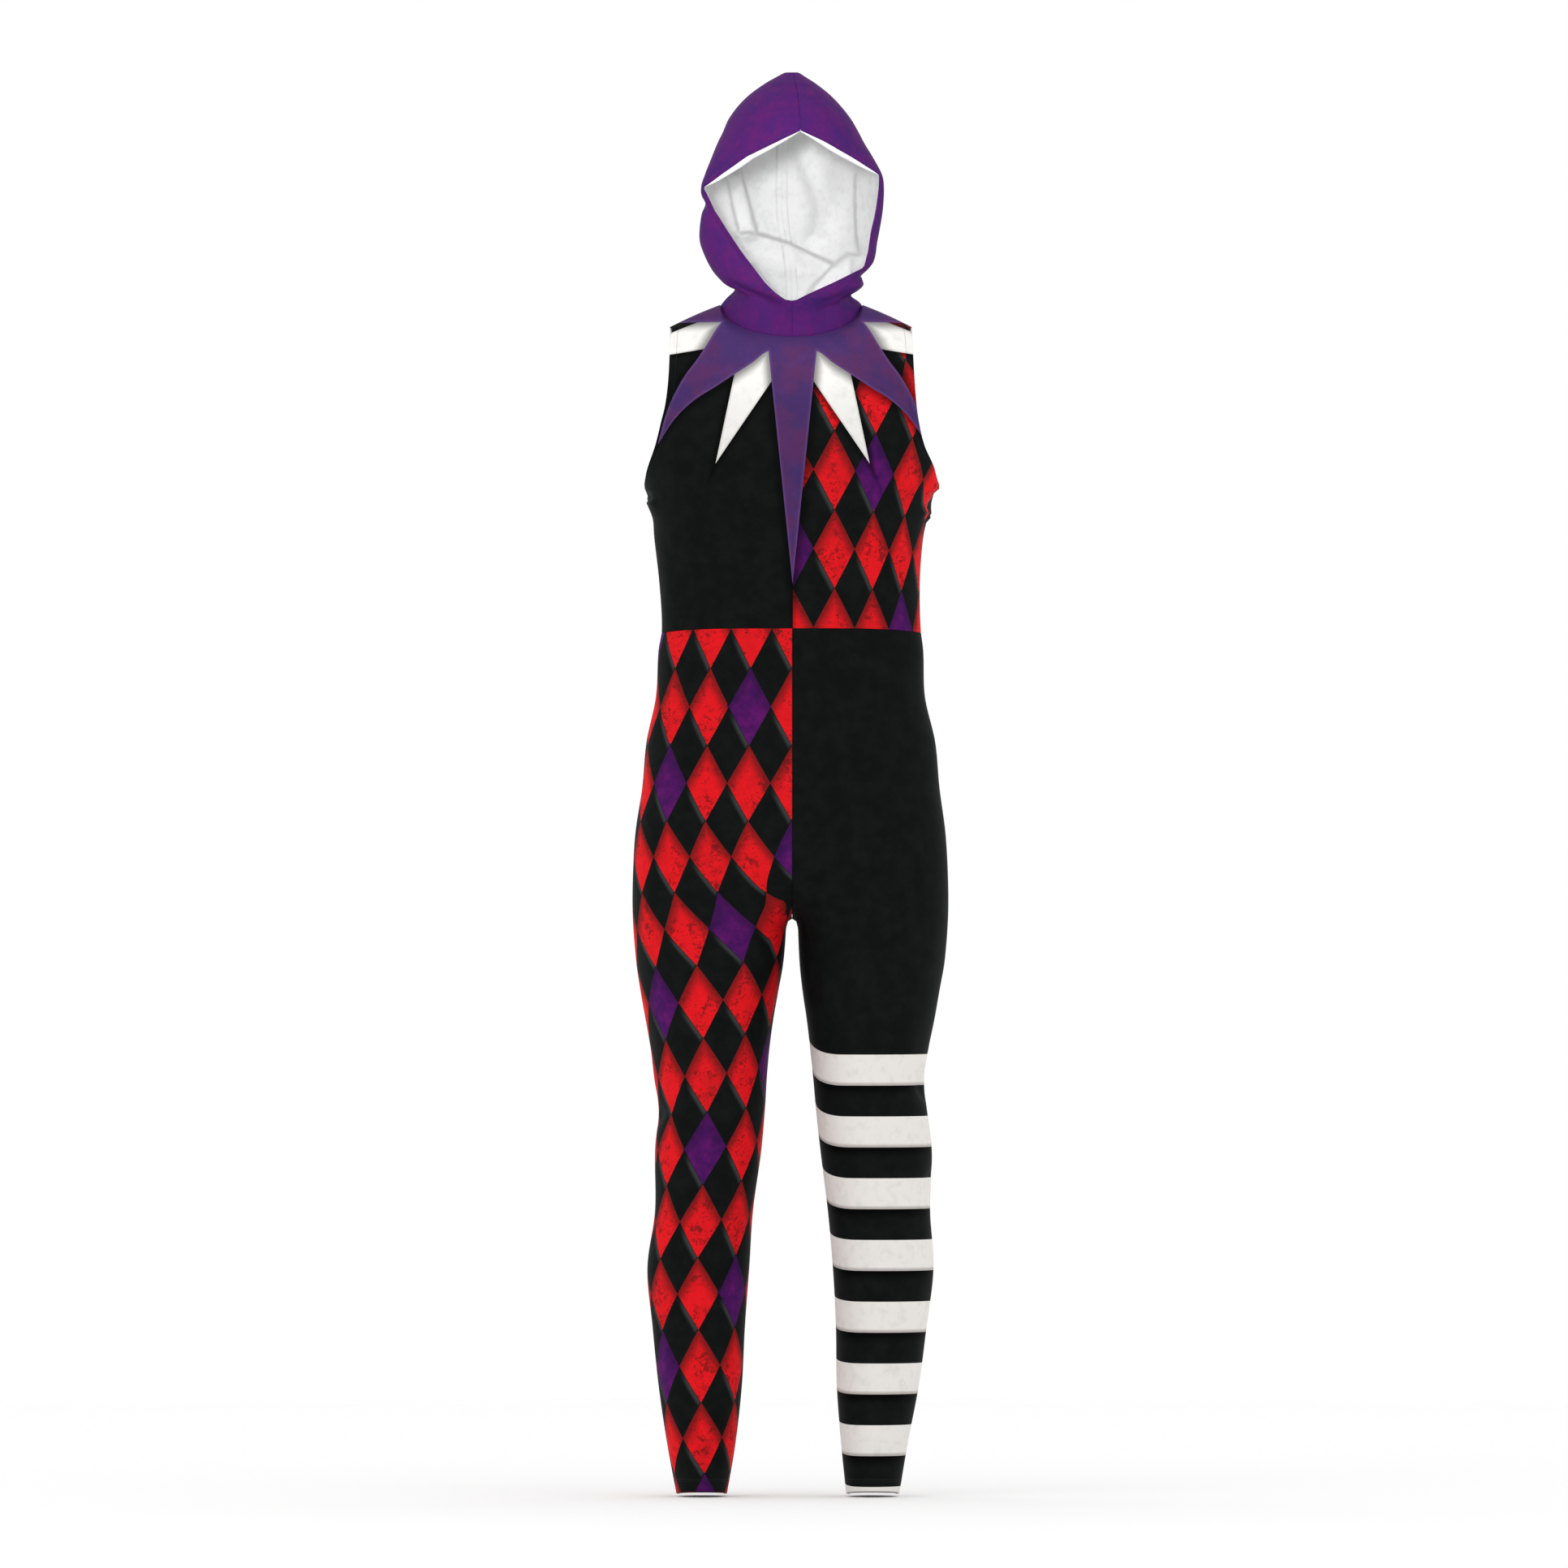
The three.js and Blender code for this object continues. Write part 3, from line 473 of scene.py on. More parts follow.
def addCloth(
    piece, surface, uLines, vLines, facing, material, printed=None, settle=np.ones_like, rollWidth=np.zeros_like
):
    points, u, v = panelPoints(surface, uLines, vLines, facing, settle, rollWidth)
    obj, row, column = gridObject(piece["name"], points, facing < 0)
    for shown in (material, insideCloth, insideCloth, insideCloth):  # face, back, turned cloth, its back
        obj.data.materials.append(shown)
    whiteFrom, whiteTo = piece["white"]
    height = v[row, column]
    turned = ((uLines[column, 5] > 0) | (vLines[row, 5] > 0)) & (height > whiteFrom) & (height < whiteTo)
    obj.data.polygons.foreach_set("material_index", 2 * chosenFaces(obj, turned).astype(np.int32))
    if printed is not None:
        putVectors(obj, "print", printed(points, u, v)[row, column])
    solid = obj.modifiers.new("cloth", "SOLIDIFY")
    solid.thickness = cloth["thick"] * 0.001
    solid.offset = -1
    solid.material_offset = 1
    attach(obj, "garment")
    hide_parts(piece["node"])
    return obj


# Materials

def rgb(red, green, blue):
    channels = [c / 255 for c in (red, green, blue)]
    return (*[c / 12.92 if c <= 0.04045 else ((c + 0.055) / 1.055) ** 2.4 for c in channels], 1)


class Graph:
    def __init__(self, tree):
        self.nodes, self.links = tree.nodes, tree.links

    def feed(self, socket, value):
        if isinstance(value, str):
            value = colours[value]
        if isinstance(value, bpy.types.NodeSocket):
            self.links.new(value, socket)
        else:
            socket.default_value = value

    def add(self, kind, inputs=None, **settings):
        node = self.nodes.new("ShaderNode" + kind)
        for name, value in settings.items():
            setattr(node, name, value)
        for name, value in (inputs or {}).items():
            self.feed(node.inputs[name], value)
        return node

    def place(self):
        return self.add("TexCoord").outputs["Object"]

    def split(self, vector):
        return self.add("SeparateXYZ", {"Vector": vector}).outputs

    def printPlace(self):
        return self.split(self.add("Attribute", attribute_name="print").outputs["Vector"])

    def math(self, operation, *values):
        return self.add("Math", dict(enumerate(values)), operation=operation).outputs[0]

    def times(self, a, b):
        return self.math("MULTIPLY", a, b)

    def minus(self, a, b):
        return self.math("SUBTRACT", a, b)

    def timesPlus(self, a, b, c):
        return self.math("MULTIPLY_ADD", a, b, c)

    def fade(self, value, low, high):
        inputs = {"Value": value, "From Min": low, "From Max": high}
        return self.add("MapRange", inputs, interpolation_type="SMOOTHSTEP").outputs["Result"]

    def mix(self, factor, a, b):
        return self.add("Mix", {0: factor, 6: a, 7: b}, data_type="RGBA").outputs[2]

    def noise(self, vector, scale, detail=3.0, roughness=0.5, distortion=0.0):
        inputs = {"Vector": vector, "Scale": scale, "Detail": detail, "Roughness": roughness, "Distortion": distortion}
        return self.add("TexNoise", inputs).outputs["Fac"]

    def curveOf(self, value, points):
        node = self.add("FloatCurve", {"Value": value})
        line = node.mapping.curves[0]
        for x, y in points[1:-1]:
            line.points.new(x, y)
        line.points[0].location, line.points[-1].location = points[0], points[-1]
        node.mapping.update()
        return node.outputs[0]


def newGroup(name, inputs, outputs):
    tree = bpy.data.node_groups.new(name, "ShaderNodeTree")
    for socket, kind in inputs:
        tree.interface.new_socket(socket, in_out="INPUT", socket_type="NodeSocket" + kind)
    for socket, kind in outputs:
        tree.interface.new_socket(socket, in_out="OUTPUT", socket_type="NodeSocket" + kind)
    graph = Graph(tree)
    return tree, graph, graph.nodes.new("NodeGroupInput").outputs, graph.nodes.new("NodeGroupOutput").inputs


colours = {
    "red": rgb(230, 24, 32),
    "redWorn": rgb(168, 26, 30),
    "redShade": rgb(96, 24, 24),
    "violet": rgb(66, 19, 86),
    "violetWorn": rgb(98, 22, 102),
    "black": rgb(14, 16, 16),
    "blackWorn": rgb(20, 22, 22),
    "ink": rgb(2, 2, 2),
    "glint": rgb(66, 68, 68),
    "star": rgb(68, 46, 98),
    "starWorn": rgb(84, 46, 92),
    "starLight": rgb(108, 78, 136),
    "white": rgb(234, 232, 228),
    "stripe": rgb(229, 226, 221),
    "whiteShade": rgb(172, 166, 162),
    "hood": rgb(76, 27, 96),
    "hoodRed": rgb(94, 27, 94),
    "hoodBlue": rgb(61, 29, 95),
    "inside": rgb(228, 228, 228),
    "insideWorn": rgb(223, 223, 223),
    "coil": rgb(20, 20, 22),
}


def cloudyBlack(graph, place):
    return graph.mix(graph.fade(graph.noise(place, 50.0, 5.0, 0.6), 0.35, 0.7), "black", "blackWorn")


# Red, purple and black diamonds on the lattice in "print": X and Y count diamonds, Z is 1 where they are purple
def harlequinGroup():
    tree, g, _, outputs = newGroup("Harlequin", [], [("Color", "Color")])
    lattice = g.printPlace()
    place = g.place()
    p = g.math("ADD", lattice[0], lattice[1])
    q = g.minus(lattice[0], lattice[1])
    left, right = g.math("FRACT", p), g.math("FRACT", q)
    isColoured = g.math("FLOORED_MODULO", g.math("ADD", g.math("FLOOR", p), g.math("FLOOR", q)), 2.0)
    fromTop = g.math("MINIMUM", left, g.minus(1.0, right))
    patches = g.fade(g.noise(place, 38.0, 3.0), 0.4, 0.54)
    specks = g.fade(g.noise(place, 330.0, 5.0, 0.6), 0.55, 0.63)
    blots = g.fade(g.noise(place, 105.0, 4.0, 0.65, 0.6), 0.54, 0.6)
    speckled = g.times(g.times(g.math("MAXIMUM", specks, blots), patches), 0.72)
    soft = g.fade(g.noise(place, 70.0, 5.0, 0.65), 0.35, 0.75)
    grain = g.times(g.fade(g.noise(place, 420.0, 4.0, 0.7), 0.42, 0.68), 0.4)
    dulled = g.math("MAXIMUM", grain, g.times(soft, g.timesPlus(lattice[2], 1.6, 0.2)))
    red = g.mix(speckled, g.mix(dulled, "red", "redWorn"), "redShade")
    violet = g.mix(soft, "violet", "violetWorn")
    ragged = g.timesPlus(g.noise(place, 160.0, 4.0, 0.6), 0.12, g.minus(fromTop, 0.06))
    shade = g.fade(ragged, 0.36, 0.0)
    red = g.mix(g.times(shade, 0.85), red, "redShade")
    violet = g.mix(g.times(shade, 0.55), violet, rgb(38, 16, 58))
    coloured = g.mix(g.math("GREATER_THAN", lattice[2], 0.5), red, violet)
    across = g.minus(1.0, right)
    band = g.times(g.fade(across, 0.0, 0.03), g.fade(across, 0.17, 0.04))
    run = g.times(g.fade(left, 0.05, 0.5), g.fade(left, 1.0, 0.93))
    black = g.mix(g.times(g.times(band, run), 0.7), cloudyBlack(g, place), "glint")
    g.feed(outputs["Color"], g.mix(isColoured, black, coloured))
    return tree


# Black and white bands: X is unused, and Y in "print" counts bands down from the first
def stripeGroup():
    tree, g, _, outputs = newGroup("Stripes", [], [("Color", "Color")])
    lattice = g.printPlace()
    down = lattice[1]
    share = g.math("FRACT", down)
    even = g.math("LESS_THAN", g.math("FLOORED_MODULO", g.math("FLOOR", down), 2.0), 0.5)
    isWhite = g.times(even, g.math("GREATER_THAN", down, 0.0))
    bevel = g.times(g.fade(share, 0.86, 0.97), 0.85)
    white = g.mix(bevel, "stripe", "whiteShade")
    shadow = g.times(g.fade(share, 0.42, 0.0), g.math("GREATER_THAN", down, 0.0))
    black = g.mix(shadow, cloudyBlack(g, g.place()), "ink")
    g.feed(outputs["Color"], g.mix(isWhite, black, white))
    return tree


# The star's edges in millimetres: curves through points out to a reach, and lines as a start and a slope
star = {
    "reach": (180.0, 200.0),
    "lower": [(0, 43.5), (28, 43.5), (47, 57), (67, 70), (90, 85), (115, 101), (136, 121), (155, 149), (180, 190)],
    "upper": [(0, 74), (9, 83), (40, 103), (55, 113), (71, 125), (90, 136), (110, 145), (140, 154), (180, 162)],
    "tip": 314.4, "narrowing": 0.1036, "yoke": 9.0, "corner": 80.0,
    "outer": (53.0, 0.2095), "inner": (-28.9, 0.6785), "top": (-35.5, 0.4), "foot": (24.35, 0.158),
}


# The printed star of points round the neck, over the colour that comes in
def starGroup():
    tree, g, inputs, outputs = newGroup("Star", [("Color", "Color"), ("Lift", "Float")], [("Color", "Color")])
    place = g.place()
    axes = g.split(place)
    x = g.math("ABSOLUTE", g.timesPlus(axes[0], 1000.0, -0.5))
    z = g.minus(g.times(axes[2], 1000.0), inputs["Lift"])
    down = g.times(z, -1.0)
    far, high = star["reach"]

    def pastCurve(name, along, across):
        line = g.curveOf(g.math("DIVIDE", along, far), [(a / far, b / high) for a, b in star[name]])
        return g.times(g.timesPlus(line, -high, across), 0.8)

    def onLine(name, value):
        start, slant = star[name]
        return g.timesPlus(value, slant, start)

    belowLow, pastHigh = pastCurve("lower", x, down), pastCurve("upper", down, x)
    diagonal = g.math("MAXIMUM", belowLow, pastHigh)
    spine = g.minus(x, g.times(g.minus(star["tip"], down), star["narrowing"]))
    yoke = g.minus(down, star["yoke"])
    purple = g.math("MINIMUM", g.math("MINIMUM", diagonal, spine), yoke)
    outer = g.minus(x, onLine("outer", down))
    inner = g.minus(onLine("inner", down), x)
    spike = g.math("MAXIMUM", outer, g.times(inner, 0.83))
    topLine = g.minus(onLine("top", x), down)
    footLine = g.minus(down, onLine("foot", x))
    corner = g.math("MAXIMUM", g.math("MAXIMUM", topLine, footLine), g.minus(star["corner"], x))
    white = g.math("MINIMUM", spike, corner)
    soft = g.noise(place, 60.0, 5.0, 0.6)
    mottle = g.fade(g.noise(place, 24.0, 5.0, 0.6), 0.4, 0.62)
    shadeWhite = g.times(g.fade(white, 9.0, 0.0), 0.75)
    base = g.mix(shadeWhite, inputs["Color"], "ink")
    whiteEdge = g.times(g.fade(white, -3.0, 0.0), 0.45)
    whiteColour = g.mix(whiteEdge, "white", "whiteShade")
    base = g.mix(g.math("LESS_THAN", white, 0.0), base, whiteColour)
    base = g.mix(g.times(g.fade(purple, 13.0, 0.0), 0.7), base, "ink")
    purpleColour = g.mix(mottle, "star", "starWorn")
    purpleColour = g.mix(g.times(g.fade(soft, 0.5, 0.8), 0.4), purpleColour, rgb(80, 56, 124))
    purpleColour = g.mix(g.times(g.fade(purple, -4.0, 0.0), 0.4), purpleColour, "starLight")
    g.feed(outputs["Color"], g.mix(g.math("LESS_THAN", purple, 0.0), base, purpleColour))
    return tree


# The knit's fine grain, as a slight change of colour and a normal
def knitGroup():
    sockets = [("Color", "Color")]
    tree, g, inputs, outputs = newGroup("Knit", sockets, [("Color", "Color"), ("Normal", "Vector")])
    place = g.place()
    grain = g.noise(place, 1500.0, 2.0, 0.6)
    patch = g.noise(place, 90.0, 4.0, 0.6)
    dark = g.times(g.fade(patch, 0.45, 0.75), 0.1)
    g.feed(outputs["Color"], g.mix(dark, inputs["Color"], "ink"))
    height = g.timesPlus(patch, 1.5, grain)
    bump = g.add("Bump", {"Strength": 0.22, "Distance": 0.0004, "Height": height})
    g.feed(outputs["Normal"], bump.outputs["Normal"])
    return tree


groups = {"harlequin": harlequinGroup(), "stripes": stripeGroup(), "star": starGroup(), "knit": knitGroup()}


def useGroup(graph, name, inputs=None):
    node = graph.nodes.new("ShaderNodeGroup")
    node.node_tree = groups[name]
    for socket, value in (inputs or {}).items():
        graph.feed(node.inputs[socket], value)
    return node.outputs


def newMaterial(name, settings, colourOf, knit=True):
    material = bpy.data.materials.new(name)
    material.use_nodes = True
    graph = Graph(material.node_tree)
    shader = graph.nodes["Principled BSDF"]
    for socket, value in settings.items():
        shader.inputs[socket].default_value = value
    colour = colourOf(graph)
    if knit:
        made = useGroup(graph, "knit", {"Color": colour})
        graph.feed(shader.inputs["Base Color"], made["Color"])
        graph.feed(shader.inputs["Normal"], made["Normal"])
    else:
        graph.feed(shader.inputs["Base Color"], colour)
    return material


clothFinish = {"Roughness": 0.62, "Specular IOR Level": 0.03}


def blockColour(graph, block):
    if block == "black":
        return cloudyBlack(graph, graph.place())
    return useGroup(graph, block)["Color"]


# The wearer's right takes one block of the print and the left another, with the star over both where asked
def printColour(right, left, lift=None):
    def build(graph):
        colour = blockColour(graph, right)
        if left != right:
            x = graph.split(graph.place())[0]
            colour = graph.mix(graph.math("GREATER_THAN", x, 0.0008), colour, blockColour(graph, left))
        if lift is not None:
            colour = useGroup(graph, "star", {"Color": colour, "Lift": lift})["Color"]
        return colour
    return build


def hoodColour(graph):
    place = graph.place()
    broad = graph.fade(graph.noise(place, 34.0, 6.0, 0.65, 0.4), 0.36, 0.66)
    fine = graph.fade(graph.noise(place, 60.0, 8.0, 0.75), 0.46, 0.64)
    colour = graph.mix(broad, "hood", "hoodBlue")
    return graph.mix(graph.times(fine, 0.6), colour, "hoodRed")


def insideColour(graph):
    place = graph.place()
    return graph.mix(graph.noise(place, 45.0, 3.0), "inside", "insideWorn")


def threadColour(graph, colour):
    place = graph.place()
    return graph.mix(graph.times(graph.noise(place, 900.0, 2.0), 0.4), colour, "ink")


# Dark enamel, rubbed to bare metal in small spots
def metalColour(graph):
    place = graph.place()
    shader = graph.nodes["Principled BSDF"]
    rubbed = graph.fade(graph.noise(place, 420.0, 4.0, 0.6), 0.58, 0.7)
    graph.feed(shader.inputs["Roughness"], graph.timesPlus(graph.noise(place, 900.0, 3.0), 0.25, 0.2))
    return graph.mix(graph.times(rubbed, 0.6), rgb(46, 46, 49), rgb(138, 136, 134))


# Coils crossing the chain every 1.4 mm, with the groove where the two halves mesh; the colour there and between the
# coils is painted shade
def coilColour(graph):
    axes = graph.split(graph.place())
    slant = graph.timesPlus(graph.math("ABSOLUTE", axes[0]), 0.35, axes[2])
    wave = graph.math("SINE", graph.times(slant, 4488.0))
    groove = graph.fade(graph.math("ABSOLUTE", axes[0]), 0.0, 0.0006)
    height = graph.times(graph.timesPlus(wave, 0.5, 0.5), groove)
    bump = graph.add("Bump", {"Strength": 0.9, "Distance": 0.0006, "Height": height})
    graph.feed(graph.nodes["Principled BSDF"].inputs["Normal"], bump.outputs["Normal"])
    # painted shade: the colour goes from the coil's black to near black where the bump is low, in the groove and
    # between the coils
    return graph.mix(height, "ink", "coil")


# Woven tape: fine ribs along its length
def tapeColour(graph):
    place = graph.place()
    axes = graph.split(place)
    rib = graph.timesPlus(graph.math("SINE", graph.times(axes[0], 5200.0)), 0.5, 0.5)
    bump = graph.add("Bump", {"Strength": 0.4, "Distance": 0.0003, "Height": rib})
    graph.feed(graph.nodes["Principled BSDF"].inputs["Normal"], bump.outputs["Normal"])
    return graph.mix(graph.noise(place, 300.0, 3.0), rgb(14, 14, 15), rgb(26, 26, 28))


hoodCloth = newMaterial("hood_cloth", clothFinish, hoodColour)
insideCloth = newMaterial("inside_cloth", clothFinish, insideColour)
frontCloth = newMaterial("bodice_front_print", clothFinish, printColour("black", "harlequin", 0.0))
backRightCloth = newMaterial("bodice_back_right_print", clothFinish, printColour("black", "black", 8.0))
backLeftCloth = newMaterial("bodice_back_left_print", clothFinish, printColour("harlequin", "harlequin", 8.0))
legRightCloth = newMaterial("leg_right_print", clothFinish, printColour("harlequin", "harlequin"))
legLeftCloth = newMaterial("leg_left_print", clothFinish, printColour("stripes", "stripes"))
print("materials made")


# Print: where each point lies on the lattice of diamonds or the bands

diamond = {"wide": 49.5, "bodiceHigh": 91.8, "bodiceRow": -318.8, "sag": 0.1, "spread": 0.085}
# Heights of the rows of corners down the right leg, and where its third column runs
legRows = table("z row", [
    [-320, -1], [-412, 0], [-502, 1], [-590, 2], [-673, 3], [-760, 4], [-845, 5], [-931, 6], [-1015, 7],
    [-1099.5, 8], [-1183, 9], [-1268, 10], [-1351, 11], [-1434, 12],
])
legColumn = table("z x", [
    [-366, 134], [-412, 136], [-502, 142], [-594, 146], [-673, 137], [-757, 111], [-844, 103], [-931, 99],
    [-1015, 104], [-1099, 110], [-1183, 109], [-1268, 106], [-1351, 102], [-1390, 100],
])
legWide = table("z wide", [[-560, 50], [-660, 52.5], [-718, 56], [-757, 57], [-800, 54], [-900, 50], [-1375, 49.5]])
# At the crotch the print is laid out flat, from a part of the panel's width and between two heights
crotchPrint = {"top": -560, "bottom": -775, "from": 0.36, "over": 0.08, "flat": 0.92}
# How far the print rises along the inseam, at each distance below the shoulders
inseamRise = {"most": 19, "down": [690, 760, 862, 1000, 1100, 1375], "share": [0, 1, 1, 0.75, 0.4, 0.15]}
printSteps = 240
band = {"top": -861.8, "high": 36}
# Purple diamonds of the front, as the column and row of each one's middle
bodicePurple = {(2, -2), (0, -1), (3, 0), (5, -3), (-4, -2)}
legPurple = {(-1, 0), (-3, 1), (0, 2), (-2, 3), (-4, 4), (-3, 6), (-2, 8), (-4, 9), (-3, 11), (-1, 5), (-4, -1)}


# 1 where the nearest coloured diamond is purple, or up to a third by how worn its red is
def purpleAt(a, b, chosen, hidden):
    p, q = a + b, a - b
    cellP, cellQ = np.floor(p), np.floor(q)
    isBlack = (cellP + cellQ) % 2 == 0
    gaps = np.stack([p - cellP, 1 - (p - cellP), q - cellQ, 1 - (q - cellQ)])
    nearest = gaps.argmin(0)
    cellP = cellP + isBlack * np.select([nearest == 0, nearest == 1], [-1, 1], 0)
    cellQ = cellQ + isBlack * np.select([nearest == 2, nearest == 3], [-1, 1], 0)
    column = np.rint((cellP + cellQ + 1) / 2).astype(int)
    row = np.rint((cellP - cellQ - 1) / 2).astype(int)
    listed = np.zeros(a.shape, bool)
    for c, r in chosen:
        listed |= (column == c) & (row == r)
    scattered = (3 * column + 5 * row) % 11 < 2
    worn = (7 * column + 4 * row) % 5 / 12
    return np.where(np.where(hidden(column), scattered, listed), 1, worn)


# Length along each row of the panel, from its parameter 0
def runAlong(surface, u, v, low, high):
    steps = np.linspace(low, high, printSteps + 1)
    run = np.empty(u.shape)
    middle = v[:, v.shape[1] // 2]
    for j in range(len(u)):
        line = surface(steps, np.full(steps.shape, middle[j]))
        lengths = runOf(np.diff(line, axis=0))
        run[j] = np.interp(u[j], steps, lengths - np.interp(0, steps, lengths))
    return run


def bodicePrint(surface, low, high, sign):
    def build(points, u, v):
        a = sign * runAlong(surface, u, v, low, high) / diamond["wide"]
        b = (diamond["bodiceRow"] - points[..., 2]) / diamond["bodiceHigh"]
        b = b - diamond["sag"] * np.clip(-b, 0.4, 1) * np.clip(np.abs(a) / 3, 0, 1.6) ** 2
        outward = np.sign(a) * np.clip(np.abs(a) - 1, 0, 2.2) ** 2
        a = a + diamond["spread"] * np.clip(1 + b / 2, 0, 1) * outward
        return np.stack([a, b, purpleAt(a, b, bodicePurple, lambda column: np.abs(column) > 4)], -1)
    return build


def diamondLegPrint(points, u, v):
    steps = np.linspace(0, 1, printSteps + 1)
    a = np.empty(u.shape)
    middle = v[:, v.shape[1] // 2]
    for j in range(len(u)):
        line = legPoint(-1, steps, ringHeight(middle[j], steps))
        level = line[printSteps // 4, 2]
        inCrotch = ease((np.abs(steps - 0.5) - crotchPrint["from"]) / crotchPrint["over"])
        inCrotch *= ease((crotchPrint["top"] - level) / 60) * ease((level - crotchPrint["bottom"]) / 40)
        moved = np.diff(line[:, :2], axis=0)
        moved[:, 1] *= 1 - crotchPrint["flat"] * inCrotch[1:]
        run = runOf(moved)
        half = printSteps // 2 + 1
        mid = np.interp(np.interp(-level, -legColumn["z"], legColumn["x"]), -line[:half, 0], run[:half])
        measured = np.interp(-level, -legWide["z"], legWide["wide"])
        wide = lerp(mid / 3, measured, ease((crotchPrint["top"] - level) / 160))
        a[j] = -3 - (np.interp(u[j], steps, run) - mid) / wide
    b = np.interp(innerLift(points, u, 0.42) - points[..., 2], -legRows["z"], legRows["row"])
    return np.stack([a, b, purpleAt(a, b, legPurple, lambda column: column < -5)], -1)


# The print rises towards the inseam, where the cloth is drawn up
def innerLift(points, u, reach):
    inward = np.clip(1 - np.minimum(u, 1 - u) / reach, 0, 1) ** 2
    return inseamRise["most"] * inward * np.interp(-points[..., 2], inseamRise["down"], inseamRise["share"])


def stripeLegPrint(points, u, v):
    b = (band["top"] + innerLift(points, u, 0.17) - points[..., 2]) / band["high"]
    return np.stack([0 * b, b, 0 * b], -1)


# Hood: two halves, seamed from the neck up the front, over the crown and down the back

# In each piece, white is where turned cloth shows its white back, between two values of v
hoodPiece = {
    "slot": "purple_cloth", "flat": (0.3, 0.4), "area": 0.084, "held": "draped",
    "columns": 110, "rows": 170, "white": (0, 22), "crown": 21, "lap": -6,
}
# The rolled edge over the face, from the corner of the opening to its top. Its turn is just under half a circle, so
# that past the top the layers of the roll still don't meet.
faceRoll = {"wide": 7.5, "top": 14, "power": 0.7, "turn": 3.14159}


def hoodSettle(v):
    return ease(v / 1.3)


def rollFrom(corner):
    def width(v):
        share = np.clip((v - corner) / (faceRoll["top"] - corner), 0, 1)
        return faceRoll["wide"] * np.sin(share * faceRoll["turn"]) ** faceRoll["power"]
    return width


for side, name, corner in ((-1, "right", 10), (1, "left", 11)):
    addCloth(
        {**hoodPiece, "name": "cloth_hood_" + name, "node": "hood_" + name},
        lambda u, v, side=side: hoodPoint(side, u, v),
        panelLines(0, 1, hoodPiece["columns"], cloth["facing"], cloth["seam"], roll=True),
        panelLines(0, hoodPiece["crown"], hoodPiece["rows"], hoodPiece["lap"], 0),
        side,
        hoodCloth,
        settle=hoodSettle,
        rollWidth=rollFrom(corner),
    )
print("hood made")


# Bodice: one front panel and two backs

bodicePiece = {"slot": "printed_cloth", "held": "stretched", "columns": 56, "rows": 44, "white": (0.66, 1.94)}
armholeInset = {"share": 0.022, "at": 1.84, "over": 0.09}
zipGap = 3.0  # from the centre-back to each back's edge
front = {**bodicePiece, "name": "cloth_bodice_front", "node": "bodice_front", "flat": (0.46, 0.42), "area": 0.145}


# The front's armhole edge stands in from the back's just under the shoulder, so that the white inside shows
def frontSurface(u, v):
    inset = armholeInset["share"] * np.exp(-(((v - armholeInset["at"]) / armholeInset["over"]) ** 2))
    return bodicePoint(np.sign(u + 1e-12), True, np.abs(u) * (1 - inset), v)


def neckSettle(v):
    return ease((2 - v) / 0.2)


addCloth(
    front, frontSurface, panelLines(-1, 1, 2 * front["columns"]), panelLines(0, 2, 2 * front["rows"]),
    1, frontCloth, bodicePrint(frontSurface, -1, 1, 1), neckSettle,
)
for side, name, material in ((-1, "right", backRightCloth), (1, "left", backLeftCloth)):
    piece = {
        **bodicePiece, "name": "cloth_bodice_back_" + name, "node": "bodice_back_" + name,
        "flat": (0.24, 0.42), "area": 0.074,
    }
    apart = np.array([zipGap * side, 0, 0])
    surface = lambda u, v, side=side, apart=apart: bodicePoint(side, False, u, v) + apart * (1 - u)[..., None]
    addCloth(
        piece, surface, panelLines(0, 1, piece["columns"]), panelLines(0, 2, 2 * piece["rows"]),
        -side, material, bodicePrint(surface, 0, 1, side), neckSettle,
    )
print("bodice made")


# Legs: a front and a back each, from the waist seam to the ankle hem

legPiece = {
    "slot": "printed_cloth", "flat": (0.3, 1.04), "area": 0.222, "held": "stretched",
    "columns": 48, "rows": 216, "white": (0, 0),
}


def legSurface(side):
    return lambda u, ring: legPoint(side, u, ringHeight(ring, u))


for side, name, material, printed in (
    (-1, "right", legRightCloth, diamondLegPrint),
    (1, "left", legLeftCloth, stripeLegPrint),
):
    for place, low, high in (("front", 0, 0.5), ("back", 0.5, 1)):
        addCloth(
            {**legPiece, "name": f"cloth_leg_{place}_{name}", "node": f"leg_{place}_{name}"},
            legSurface(side),
            panelLines(low, high, legPiece["columns"]),
            panelLines(hemZ, waistZ, legPiece["rows"], cloth["hem"]),
            side, material, printed,
        )
print("legs made")


# Stitches: twin rows along the leg hems, one row round the armholes and the face opening

# Rows are a distance in from the border, and for armholes and face the values of v between which they run
stitch = {
    "pitch": 3.1, "half": 1.15, "wide": 0.26, "high": 0.26, "proud": 0.05, "samples": 400,
    "hem": {"low": 13, "high": 15.5}, "armhole": (10, 0.7, 1.9), "face": (9, 3.4, 13.7),
}
threads = {
    name: newMaterial("thread_" + name, {"Roughness": 0.7}, lambda graph, dye=dye: threadColour(graph, dye), False)
    for name, dye in (("dark", rgb(20, 20, 22)), ("purple", rgb(64, 26, 84)))
}


# A row of stitches on the folded cloth, in from the border where u is edge
def addEdgeStitches(name, surface, facing, edge, inward, row, thread, settle):
    distance, low, high = row
    v = np.linspace(low, high, stitch["samples"])
    u = np.full(v.shape, float(edge))
    ranges = (min(edge, edge + inward), max(edge, edge + inward)), (0, hoodPiece["crown"] + 1)
    for _ in range(2):  # the second time with the slope at the row itself
        u = edge + inward * distance / np.maximum(np.linalg.norm(slope(surface, u, v, 0.004, 0, *ranges), axis=-1), 1)
    addStitches(name, surface, u, v, facing, settle, ranges, thread)


